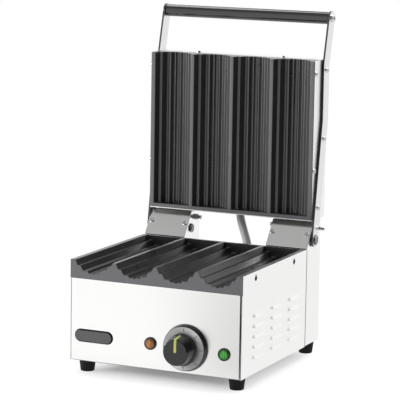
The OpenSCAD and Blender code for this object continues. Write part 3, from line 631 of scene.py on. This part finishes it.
def backdrop_rays(tree):
    """1 for the rays that see the white backdrop: from the camera, off metal and through lenses."""
    path = add(tree, "ShaderNodeLightPath")
    seen = path.outputs["Is Camera Ray"]
    for ray in ("Is Glossy Ray", "Is Transmission Ray"):
        seen = add(tree, "ShaderNodeMath", links={0: seen, 1: path.outputs[ray]}, operation="MAXIMUM")
        seen = seen.outputs["Value"]
    return seen


class GRILL_OT_stage(GrillOperator, bpy.types.Operator):
    """Camera, floor, world and softboxes"""
    bl_idname = "grill.stage"
    bl_label = "Stage"

    def build(self):
        scene = bpy.context.scene
        scene.view_settings.view_transform = "Standard"
        self.camera(scene)
        self.floor()
        self.world(scene)
        settings = stage_settings()
        self.softbox("softbox_left", (-2.0, -0.9, 0.8), (1.4, 1.2), settings.key)
        self.softbox("softbox_top", (0.5, 0.7, 2.0), (1.5, 1.3), settings.top)
        self.softbox("softbox_strip", (-0.85, 0.6, 2.0), (1.0, 0.9), settings.strip)

    def camera(self, scene):
        s = stage_settings()
        level = math.cos(s.elevation)
        back = Vector((math.sin(s.azimuth) * level, -math.cos(s.azimuth) * level, math.sin(s.elevation)))
        right = Vector((math.cos(s.azimuth), math.sin(s.azimuth), 0))
        up = back.cross(right)
        turned = Matrix((right * math.cos(s.roll) + up * math.sin(s.roll),
                         up * math.cos(s.roll) - right * math.sin(s.roll), back)).transposed().to_4x4()
        data = bpy.data.cameras.new("Camera")
        data.sensor_width = 36
        data.sensor_fit = "HORIZONTAL"
        data.lens = s.lens
        data.clip_end = 60
        made = bpy.data.objects.new("Camera", data)
        made.matrix_world = Matrix.Translation(Vector(s.target) + back * s.distance) @ turned
        scene.collection.objects.link(made)
        scene.camera = made

    def floor(self):
        bm = bmesh.new()
        bmesh.ops.create_circle(bm, cap_ends=True, segments=96, radius=1.2)
        data = bpy.data.meshes.new("floor")
        bm.to_mesh(data)
        bm.free()
        made = bpy.data.objects.new("floor", data)
        bpy.context.scene.collection.objects.link(made)
        data.materials.append(material("Painted studio floor", self.floor_paint))

    @staticmethod
    def floor_paint(tree):
        """Matt white paint that keeps the shadow near the object and fades into the white backdrop."""
        grit = surface_noise(tree, (5 * MM,) * 3, 2)
        paint_shader = add(tree, "ShaderNodeBsdfDiffuse", links={
            "Color": shaded(tree, grit, colours().floor, 0.99, 1.0)})
        place = away = add(tree, "ShaderNodeTexCoord").outputs["Object"]
        for step, value in (("ABSOLUTE", (0, 0, 0)), ("SUBTRACT", SHADED_FLOOR), ("MAXIMUM", (0, 0, 0))):
            away = add(tree, "ShaderNodeVectorMath", {1: value}, {0: away}, operation=step).outputs["Vector"]
        away = add(tree, "ShaderNodeVectorMath", links={0: away}, operation="LENGTH")
        far = add(tree, "ShaderNodeMapRange", {"From Min": 0.0, "From Max": SHADOW_FADE, "To Min": 0.06},
                  {"Value": away.outputs["Value"]})
        # Painted reflection: only glossy rays see the floor fall off to grey on the right, so the front panel
        # mirrors that shade, and the side panel an even floor
        ahead = add(tree, "ShaderNodeVectorMath", {1: (0.0, -1.0, 0.0)}, {0: place}, operation="DOT_PRODUCT")
        ahead = add(tree, "ShaderNodeMapRange", {"From Min": 0.12, "From Max": 0.3},
                    {"Value": ahead.outputs["Value"]})
        right = add(tree, "ShaderNodeVectorMath", {1: (1.0, -0.459, 0.0)}, {0: place},
                    operation="DOT_PRODUCT")
        fall = add(tree, "ShaderNodeMapRange",
                   {"From Min": 0.04, "From Max": 0.24, "To Min": 0.0, "To Max": 0.34},
                   {"Value": right.outputs["Value"]}, interpolation_type="SMOOTHSTEP")
        fall = add(tree, "ShaderNodeMix", {"A": 0.13},
                   {"Factor": ahead.outputs["Result"], "B": fall.outputs["Result"]})
        mirrored = add(tree, "ShaderNodeLightPath").outputs["Is Glossy Ray"]
        fall = add(tree, "ShaderNodeMath", links={0: fall.outputs["Result"], 1: mirrored},
                   operation="MULTIPLY")
        bright = add(tree, "ShaderNodeMath", {0: 1.07}, {1: fall.outputs["Value"]}, operation="SUBTRACT")
        white = add(tree, "ShaderNodeEmission", {"Color": (1, 1, 1, 1)},
                    {"Strength": bright.outputs["Value"]})
        share = add(tree, "ShaderNodeMath", links={0: far.outputs["Result"], 1: backdrop_rays(tree)},
                    operation="MULTIPLY")
        return add(tree, "ShaderNodeMixShader", links={
            0: share.outputs["Value"], 1: paint_shader.outputs["BSDF"], 2: white.outputs["Emission"]})

    def world(self, scene):
        """White round the horizon, grey overhead and dark to the right of the camera."""
        made = bpy.data.worlds.new("Studio")
        scene.world = made
        made.use_nodes = True
        tree = made.node_tree
        tree.nodes.clear()
        place = add(tree, "ShaderNodeTexCoord").outputs["Generated"]
        height = add(tree, "ShaderNodeSeparateXYZ", links={0: place})
        overhead = add(tree, "ShaderNodeMapRange",
                       {"From Min": 0.25, "From Max": 0.8, "To Min": 1.0, "To Max": 0.4},
                       {"Value": height.outputs["Z"]}, interpolation_type="SMOOTHSTEP")
        right = add(tree, "ShaderNodeVectorMath", {1: (0.87, -0.49, 0.0)}, {0: place},
                    operation="DOT_PRODUCT")
        dark = add(tree, "ShaderNodeMapRange",
                   {"From Min": 0.35, "From Max": 0.75, "To Min": 1.0, "To Max": 0.05},
                   {"Value": right.outputs["Value"]}, interpolation_type="SMOOTHSTEP")
        grey = add(tree, "ShaderNodeMath", links={0: overhead.outputs["Result"], 1: dark.outputs["Result"]},
                   operation="MULTIPLY")
        share = add(tree, "ShaderNodeMapRange", {"To Min": stage_settings().world_light, "To Max": 1.0},
                    {"Value": backdrop_rays(tree)})
        strength = add(tree, "ShaderNodeMath", links={0: grey.outputs["Value"], 1: share.outputs["Result"]},
                       operation="MULTIPLY")
        light = add(tree, "ShaderNodeBackground", {"Color": (1, 1, 1, 1)},
                    {"Strength": strength.outputs["Value"]})
        add(tree, "ShaderNodeOutputWorld", links={"Surface": light.outputs["Background"]})

    def softbox(self, name, place, size, power):
        data = bpy.data.lights.new(name, "AREA")
        data.shape = "RECTANGLE"
        data.size, data.size_y = size
        data.energy = power
        made = bpy.data.objects.new(name, data)
        made.location = place
        aim = Vector((0, 0, 0.2)) - Vector(place)
        made.rotation_euler = aim.to_track_quat("-Z", "Y").to_euler()
        bpy.context.scene.collection.objects.link(made)


# Body


class GRILL_OT_body(GrillOperator, bpy.types.Operator):
    """Front, bottom and rear sheets of the body"""
    bl_idname = "grill.body"
    bl_label = "Body sheets"

    def build(self):
        low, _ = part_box("front_panel")

        def fitted(bm):
            """Set to the left, with its lower edge rounded off where it was cut and painted darker as shade.
            """
            bmesh.ops.translate(bm, vec=(-sizes().panel_shift, 0, 0), verts=bm.verts[:])
            foot = [edge for edge in bm.edges
                    if all(v.co.z < low.z + 0.1 * MM and v.co.y < low.y + 0.1 * MM for v in edge.verts)]
            made = bmesh.ops.bevel(bm, geom=foot, offset=0.95 * sizes().sheet, segments=4, profile=0.5,
                                   affect="EDGES")
            rounded = set(made["faces"])
            for face in bm.faces:
                face.tag = face in rounded
        # The rounded foot takes the darker edge finish as painted shade
        sheet_piece("front_panel", [brushed_stainless("X"), cut_edge()], lambda face: face.tag, fitted)
        for node, along in (("rear_panel", "X"), ("bottom_plate", "Y"), ("rear_deck", "X")):
            sheet_piece(node, brushed_stainless(along))


class GRILL_OT_side_panels(GrillOperator, bpy.types.Operator):
    """Side panels with pressed louvres and keyholes"""
    bl_idname = "grill.side_panels"
    bl_label = "Side panels"

    def build(self):
        low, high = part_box("left_side_panel")

        def shorter(bm):
            for vert in bm.verts:
                if vert.co.y > high.y - 0.1 * MM:
                    vert.co.y -= sizes().seam

        def front_edge(face):
            """The right panel laps the front panel with its cut edge, painted dark as the seam's shade; the
            left one's edge stays bright.
            """
            middle = face.calc_center_median()
            return face.normal.y < -0.99 and middle.y < low.y + 2 * MM and middle.x > 0
        for side in ("left", "right"):
            sheet_piece(side + "_side_panel", [brushed_stainless("Y"), cut_edge()], front_edge, shorter)


class GRILL_OT_hinge(GrillOperator, bpy.types.Operator):
    """Hinge housings and their bent covers"""
    bl_idname = "grill.hinge"
    bl_label = "Hinge housings"

    def build(self):
        for side in ("left", "right"):
            node = side + "_hinge_housing"
            low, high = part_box(node)
            outer = high.x if side == "right" else low.x

            def rolled_edge(bm):
                """The front edge of the housing's outer wall, rolled out behind the side panel, painted dark
                as the seam's shade.
                """
                wide, deep, tall = 1.7 * MM, 1 * MM, self.seam_top() - low.z
                middle = Vector((outer + math.copysign(0.7 * MM, outer), low.y + deep / 2, low.z + tall / 2))
                made = bmesh.ops.create_cube(bm, size=1, matrix=Matrix.LocRotScale(
                    middle, None, Vector((wide, deep, tall))))
                for face in {face for vert in made["verts"] for face in vert.link_faces}:
                    face.tag = True
            sheet_piece(node, [brushed_stainless("Y"), cut_edge()], lambda face: face.tag, rolled_edge)
            self.cover(side + "_hinge_cover")

    @staticmethod
    def seam_top():
        """The rolled edge stops just under the lower plate's top, clear of the arms."""
        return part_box("lower_plate")[1].z - 1 * MM

    def cover(self, node):
        s = sizes()
        low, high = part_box(node)
        foot = Vector((low.y, high.z - s.cover_rise))
        knee = Vector((low.y + s.cover_run, high.z))
        rear = Vector((high.y, high.z))
        slope = (knee - foot).normalized()
        inward = Vector((slope.y, -slope.x)) * s.sheet
        turn = slope.angle(Vector((1, 0)))
        under_knee = knee + Vector((math.tan(turn / 2) * s.sheet, -s.sheet))
        outer, _ = round_path([foot, knee, rear], [0, s.bend, 0], 8, False)
        inner, _ = round_path([foot + inward, under_knee, rear - Vector((0, s.sheet))],
                              [0, s.bend - s.sheet, 0], 8, False)
        outline = outer + inner[::-1]
        bm = bmesh.new()
        loft(bm, [[(x, p.x, p.y) for p in outline] for x in (low.x, high.x)])
        piece(node + ".look", bm, "base", brushed_stainless("X"), [node], s.sheet_edge)


# Lid


class GRILL_OT_lid(GrillOperator, bpy.types.Operator):
    """Folded lid cover"""
    bl_idname = "grill.lid"
    bl_label = "Lid cover"

    def build(self):
        # The lid's downward-facing walls are painted dark as shade
        sheet_piece("lid_cover", [brushed_stainless("X", 0.36), heat_dulled()],
                    lambda face: face.normal.z < -0.9, body="lid")


class GRILL_OT_arms(GrillOperator, bpy.types.Operator):
    """Arms and handle"""
    bl_idname = "grill.arms"
    bl_label = "Arms and handle"

    def build(self):
        for side in ("left", "right"):
            # The arms' edges are painted dark as shade
            cad_piece(side + "_arm", "lid", [satin_bar(), sheared_edge()], sizes().bar_edge,
                      lambda face: abs(face.normal.x) < 0.5)
        cad_piece("handle_grip", "lid", grip_phenolic(), 1.2 * MM)
        paint("handle_rod", zinc_plate())


# Corners of the stepped ribs from a trough's edge to its deepest line, as shares of half width and depth
TROUGH_STEPS = ((1, 0), (0.875, 0.4), (0.732, 0.38), (0.584, 0.775), (0.51, 0.75), (0.462, 0.79),
                (0.36, 0.75), (0.25, 0.955), (0.15, 0.885), (0.05, 0.971))
TROUGHS = 4


class GRILL_OT_plates(GrillOperator, bpy.types.Operator):
    """Cast plates with ribbed troughs"""
    bl_idname = "grill.plates"
    bl_label = "Grill plates"

    def build(self):
        s = sizes()
        low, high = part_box("lower_plate")
        lip = [(0, s.plate_step, 0.4 * MM), (0.4 * MM, s.plate_step, 0), (s.lip, s.plate_step, 0)]
        self.plate("lower_plate", "base", lambda x, along, up: (x, low.y + along, low.z + up),
                   high.x - s.plate_step, 0, high.y - low.y, high.z - low.z, lip)
        face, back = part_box("upper_plate")
        self.plate("upper_plate", "lid", lambda x, along, up: (x, back.y - up, back.z - along),
                   back.x, s.flange, back.z - face.z, back.y - face.y, [(0, 0, 0.15 * MM), (0.15 * MM, 0, 0)])

    @staticmethod
    def section(half, flange, thick):
        """Closed outline of a plate across its troughs, and the kind of corner each point comes from."""
        s = sizes()
        back = half - s.plate_step if flange else half
        corners = [(-back, 0, 0, "side")]
        if flange:
            corners += [(-back, thick - flange, 0, "side"), (-half, thick - flange, 0, "side")]
        corners.append((-half, thick, 0.6 * MM, "side"))
        reach = (s.pitch - s.land) / 2
        for i in range(TROUGHS):
            middle = (i - (TROUGHS - 1) / 2) * s.pitch
            steps = []
            for k, (out, deep) in enumerate(TROUGH_STEPS):
                rib = k % 2 == 0
                steps.append((out * reach, thick - deep * s.trough_depth,
                              s.rib_round if rib else s.groove_round, "rib" if rib else "groove"))
            corners += [(middle - x, z, r, kind) for x, z, r, kind in steps]
            corners += [(middle + x, z, r, kind) for x, z, r, kind in reversed(steps)]
        corners += [(-x, z, r, kind) for x, z, r, kind in reversed(corners) if kind == "side"]
        points, source = round_path([c[:2] for c in corners], [c[2] for c in corners])
        return points, [corners[i][3] for i in source], source

    def plate(self, node, body, place, half, flange, long, thick, start):
        """Stations run from the open ends of the troughs to the rim that closes them; start gives the first
        ones as (distance, step out at the sides, chamfer)."""
        s = sizes()
        points, kind, source = self.section(half, flange, thick)
        count = len(points)
        outward = []
        for i, p in enumerate(points):
            way = points[(i + 1) % count] - points[i - 1]
            outward.append(Vector((-way.y, way.x)).normalized())
        bm = bmesh.new()
        wear_and_sheen = bm.faces.layers.float.new("wear_and_sheen")

        def face(verts, value):
            bm.faces.new(verts)[wear_and_sheen] = value

        rings = []
        stations = start + [(1.5 * s.lip, 0, 0), (long - s.plate_rim - s.end_round, 0, 0),
                            (long - s.plate_rim, 0, -s.end_round)]
        for along, step, chamfer in stations:
            ring = []
            for p, out, which in zip(points, outward, kind):
                # The troughs' ends are filled up by a small round that dies out under the plate's face
                filled = min(1, max(0, (thick - p.y) / (4 * MM) - 0.2)) * (which != "side")
                q = p - out * chamfer * (1 if chamfer > 0 else filled)
                wider = math.copysign(step, q.x) if which == "side" else 0
                ring.append(bm.verts.new(place(q.x + wider, along, q.y)))
            rings.append(ring)
        # Lands are paler from wear and painted sheen, and the ribs' rounded edges carry painted highlights
        pale_share = []
        for i in range(count):
            k = (i + 1) % count
            flat = min(points[i].y, points[k].y) > thick - 1e-6
            pale_share.append(1.0 if flat else 0.85 if source[i] == source[k] and kind[i] == "rib" else 0.0)
        for a, b in zip(rings, rings[1:]):
            for i in range(count):
                k = (i + 1) % count
                across = points[k] - points[i]
                tread = kind[i] != "side" and abs(across.y) < 0.3 * abs(across.x)
                # The treads where the troughs' ends are rounded carry a painted highlight line
                face((a[i], a[k], b[k], b[i]), 0.5 if b is rings[-1] and tread else pale_share[i])
        # The plate's open end is painted pale as sheen
        face(rings[0], 1.0)
        wall = rings[-1]
        rim = [i for i in range(count) if kind[i] == "side" or points[i].y > thick - 1e-6]
        end = {i: bm.verts.new(place(points[i].x, long, points[i].y)) for i in rim}
        for i, k in zip(rim, rim[1:] + rim[:1]):
            face((wall[i], wall[k], end[k], end[i]), float(min(points[i].y, points[k].y) > thick - 1e-6))
            if k > i + 1:
                face(wall[i:k + 1], 0.0)
        face([end[i] for i in rim], 0.0)
        piece(node + ".look", bm, body, nonstick_cast(), [node], smooth=35.0)


class GRILL_OT_heaters(GrillOperator, bpy.types.Operator):
    """Heating elements, clamps and the pieces inside the body"""
    bl_idname = "grill.heaters"
    bl_label = "Heaters"

    def build(self):
        for place in ("lower", "upper"):
            paint(place + "_element", heater_tube())
            paint(place + "_clamps", zinc_plate())
            paint(place + "_clamp_screws", zinc_plate())
        paint("plate_pins", cut_edge())
        paint("thermostat", black_moulding())
        paint("thermostat_screws", zinc_plate())
        paint("thermostat_shaft", zinc_plate())
        paint("terminal_block", ceramic())


# Width and height of the lamps, as shares of those in the frame
LAMP_WIDTH = 0.93
LAMP_HEIGHT = 0.6
# Turn from one mark of the dial to the next
MARK_TURN = math.radians(45)


class GRILL_OT_controls(GrillOperator, bpy.types.Operator):
    """Dial, knob, lamps and badge"""
    bl_idname = "grill.controls"
    bl_label = "Controls"

    def build(self):
        def side(face):
            return face.normal.y > -0.8
        cad_piece("dial_bezel", "base", black_moulding(), 0.8 * MM)
        self.scale()
        cad_piece("control_knob", "knob", [knob_face(), knob_moulding()], 0.5 * MM, side,
                  self.slimmed)
        cad_piece("knob_pointer", "knob", pointer_inlay(), 0.1 * MM, change=self.slimmed)
        # The rim colours are painted shade at the lenses' edges
        for name, base, rim in (("amber", colours().amber, colours().amber_rim),
                                ("green", colours().green, colours().green_rim)):
            flat = self.flattened(name + "_lens")
            cad_piece(name + "_lamp", "base", black_moulding(), 0.5 * MM, change=flat)
            lens = lamp_lens("Moulded %s polycarbonate" % name, name + "_lens", base, rim)
            cad_piece(name + "_lens", "base", lens, 0.3 * MM, change=flat)
        self.badge()

    @staticmethod
    def slimmed(bm):
        """Draws in the knob's side above its skirt, and the pointer with it."""
        axis, (low, high) = centre("control_knob"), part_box("control_knob")
        skirt, edge, core = 5 * MM, 1.6 * MM, 15 * MM
        for v in bm.verts:
            out = Vector((v.co.x - axis.x, 0, v.co.z - axis.z))
            share = 1 - (high.y - v.co.y - skirt) / (high.y - low.y - skirt - edge)
            if out.length > core and 0 < share < 1.05:
                v.co -= sizes().knob_draw * share * out.normalized()

    @staticmethod
    def flattened(lens):
        """Draws in a lamp's rim and lens, towards its axis and the panel."""
        axis, (panel, _) = centre(lens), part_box("front_panel")

        def change(bm):
            for v in bm.verts:
                if v.co.y < panel.y + 0.1 * MM:
                    v.co = (axis.x + LAMP_WIDTH * (v.co.x - axis.x),
                            panel.y + LAMP_HEIGHT * (v.co.y - panel.y),
                            axis.z + LAMP_WIDTH * (v.co.z - axis.z))
        return change

    @staticmethod
    def badge():
        """A plate with round ends, whose dark rim slopes up to the grey face."""
        low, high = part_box("badge_plate")
        end = (high.z - low.z) / 2
        straight = (high.x - low.x) / 2 - end
        back = out_of_front(Vector((centre("badge_plate").x, high.y, centre("badge_plate").z)))
        turns = [math.radians(4 + 8 * j) for j in range(45)]

        def outline(radius, height):
            return [back @ Vector((math.copysign(straight, math.cos(a)) + radius * math.cos(a),
                                   radius * math.sin(a), height)) for a in turns]
        bm = bmesh.new()
        loft(bm, [outline(end, 0), outline(end, 0.3 * MM), outline(end - sizes().badge_rim, high.y - low.y)])
        bmesh.ops.recalc_face_normals(bm, faces=bm.faces[:])
        for face in bm.faces:
            face.material_index = int(face.normal.y > -0.95)
        piece("badge_plate.look", bm, "base", [badge_face(), badge_rim()],
              ["badge_plate"], 0.2 * MM)

    def scale(self):
        """The spun disc in the bezel, with a line and six figures printed clockwise from the top."""
        low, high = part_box("dial_scale")
        rim, bore, thick = (high.x - low.x) / 2 - 0.5 * MM, 16 * MM, high.y - low.y
        back = out_of_front(Vector((centre("dial_scale").x, high.y, centre("dial_scale").z)))
        disc = turned_ring([(bore, 0), (rim, 0), (rim, thick), (bore, thick)], 96, back)
        piece("dial_scale.look", disc, "base", spun_aluminium(), ["dial_scale"], 0.15 * MM)
        for number in range(7):
            face = back @ Matrix.Rotation(-number * MARK_TURN, 4, "Z") @ Matrix.Translation(
                (0, sizes().figures, thick - 0.02 * MM))
            bm = bmesh.new()
            if number:
                self.figure(bm, str(number), sizes().digit)
            else:
                bmesh.ops.create_cube(bm, size=1, matrix=Matrix.Diagonal(
                    (0.9 * MM, sizes().digit, 0.08 * MM, 1)))
            bmesh.ops.transform(bm, matrix=face, verts=bm.verts[:])
            piece("dial_mark_%d.look" % number, bm, "base", dial_ink(), [])

    @staticmethod
    def figure(bm, text, height):
        """A printed figure in the middle of the XY plane."""
        data = bpy.data.curves.new("figure", "FONT")
        data.body = text
        data.size = 1.4 * height
        data.align_x, data.align_y = "CENTER", "CENTER"
        data.extrude = 0.04 * MM
        made = bpy.data.objects.new("figure", data)
        flat = made.to_mesh()
        bm.from_mesh(flat)
        made.to_mesh_clear()
        bpy.data.objects.remove(made)
        bpy.data.curves.remove(data)
        bmesh.ops.remove_doubles(bm, verts=bm.verts[:], dist=1e-6)


class GRILL_OT_feet(GrillOperator, bpy.types.Operator):
    """Rubber feet"""
    bl_idname = "grill.feet"
    bl_label = "Feet"

    def build(self):
        for place in ("front_left", "front_right", "rear_left", "rear_right"):
            cad_piece("foot_" + place, "base", foot_rubber(), 1.0 * MM)


class GRILL_OT_fasteners(GrillOperator, bpy.types.Operator):
    """Screws, nuts, bolts and studs"""
    bl_idname = "grill.fasteners"
    bl_label = "Fasteners"

    def build(self):
        for body, finish, nodes in (
                ("base", zinc_plate(), ("hinge_cover_screws", "foot_screws", "left_stop_stud",
                                        "right_stop_stud", "stop_stud_nuts")),
                ("base", bright_bar(), ("left_pivot_bolt", "right_pivot_bolt", "pivot_nuts")),
                ("lid", zinc_plate(), ("handle_screws", "arm_screws", "lid_side_screws",
                                       "lid_front_screws"))):
            for node in nodes:
                cad_piece(node, body, finish, sizes().fastener_edge)


class GRILL_OT_conduit(GrillOperator, bpy.types.Operator):
    """Flexible conduit with its glands, and the mains gland"""
    bl_idname = "grill.conduit"
    bl_label = "Conduit"

    def build(self):
        for node, body in (("base_conduit_gland", "base"), ("lid_conduit_gland", "lid"),
                           ("mains_gland", "base")):
            cad_piece(node, body, black_moulding(), 0.5 * MM)
        self.sleeve()

    @staticmethod
    def sleeve():
        """A round sleeve that leaves both glands straight and bends between them."""
        low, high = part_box("flexible_conduit")
        radius = 6.5 * MM
        foot, head = centre("base_conduit_gland"), centre("lid_conduit_gland")
        foot.z, head.z = low.z + 2 * MM, high.z - 2 * MM
        up = Vector((0, 0, 1))
        pull = 0.32 * (head.z - foot.z) * up
        curve = [foot, foot + pull, head - pull, head]
        side = (head - foot).cross(up).normalized()
        stations = [(foot - 2 * MM * up, up)]
        for k in range(33):
            t = k / 32
            weights = ((1 - t) ** 3, 3 * t * (1 - t) ** 2, 3 * t * t * (1 - t), t ** 3)
            slopes = (-(1 - t) ** 2, (1 - t) ** 2 - 2 * t * (1 - t), 2 * t * (1 - t) - t * t, t * t)
            stations.append((sum((w * c for w, c in zip(weights, curve)), Vector()),
                             sum((w * c for w, c in zip(slopes, curve)), Vector()).normalized()))
        stations.append((head + 2 * MM * up, up))
        bm = bmesh.new()
        turns = [2 * math.pi * j / 28 for j in range(28)]
        loft(bm, [[p + radius * (side * math.cos(a) + side.cross(way) * math.sin(a)) for a in turns]
                  for p, way in stations])
        made = piece("flexible_conduit.look", bm, None, conduit_sleeve(),
                     ["flexible_conduit"])
        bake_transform(made)


class GRILL_PT_panel(bpy.types.Panel):
    bl_idname = "GRILL_PT_panel"
    bl_label = "Hot dog contact grill"
    bl_space_type = "VIEW_3D"
    bl_region_type = "UI"
    bl_category = "Grill"

    def draw(self, context):
        for operator in OPERATORS:
            self.layout.operator(operator.bl_idname)
        for group in (context.scene.grill_sizes, context.scene.grill_colours, context.scene.grill_stage):
            box = self.layout.box()
            for name in group.__annotations__:
                box.prop(group, name)


GROUPS = {"grill_sizes": GrillSizes, "grill_colours": GrillColours, "grill_stage": GrillStage}
OPERATORS = (
    GRILL_OT_stage, GRILL_OT_body, GRILL_OT_side_panels, GRILL_OT_hinge, GRILL_OT_lid, GRILL_OT_arms,
    GRILL_OT_plates, GRILL_OT_heaters, GRILL_OT_controls, GRILL_OT_feet, GRILL_OT_fasteners, GRILL_OT_conduit,
)


def register():
    for name, group in GROUPS.items():
        bpy.utils.register_class(group)
        setattr(bpy.types.Scene, name, bpy.props.PointerProperty(type=group))
    for made in OPERATORS + (GRILL_PT_panel,):
        bpy.utils.register_class(made)


def unregister():
    for made in reversed(OPERATORS + (GRILL_PT_panel,)):
        bpy.utils.unregister_class(made)
    for name, group in GROUPS.items():
        delattr(bpy.types.Scene, name)
        bpy.utils.unregister_class(group)


def main():
    register()
    for operator in OPERATORS:
        space, name = operator.bl_idname.split(".")
        getattr(getattr(bpy.ops, space), name)()


if __name__ == "__main__":
    main()
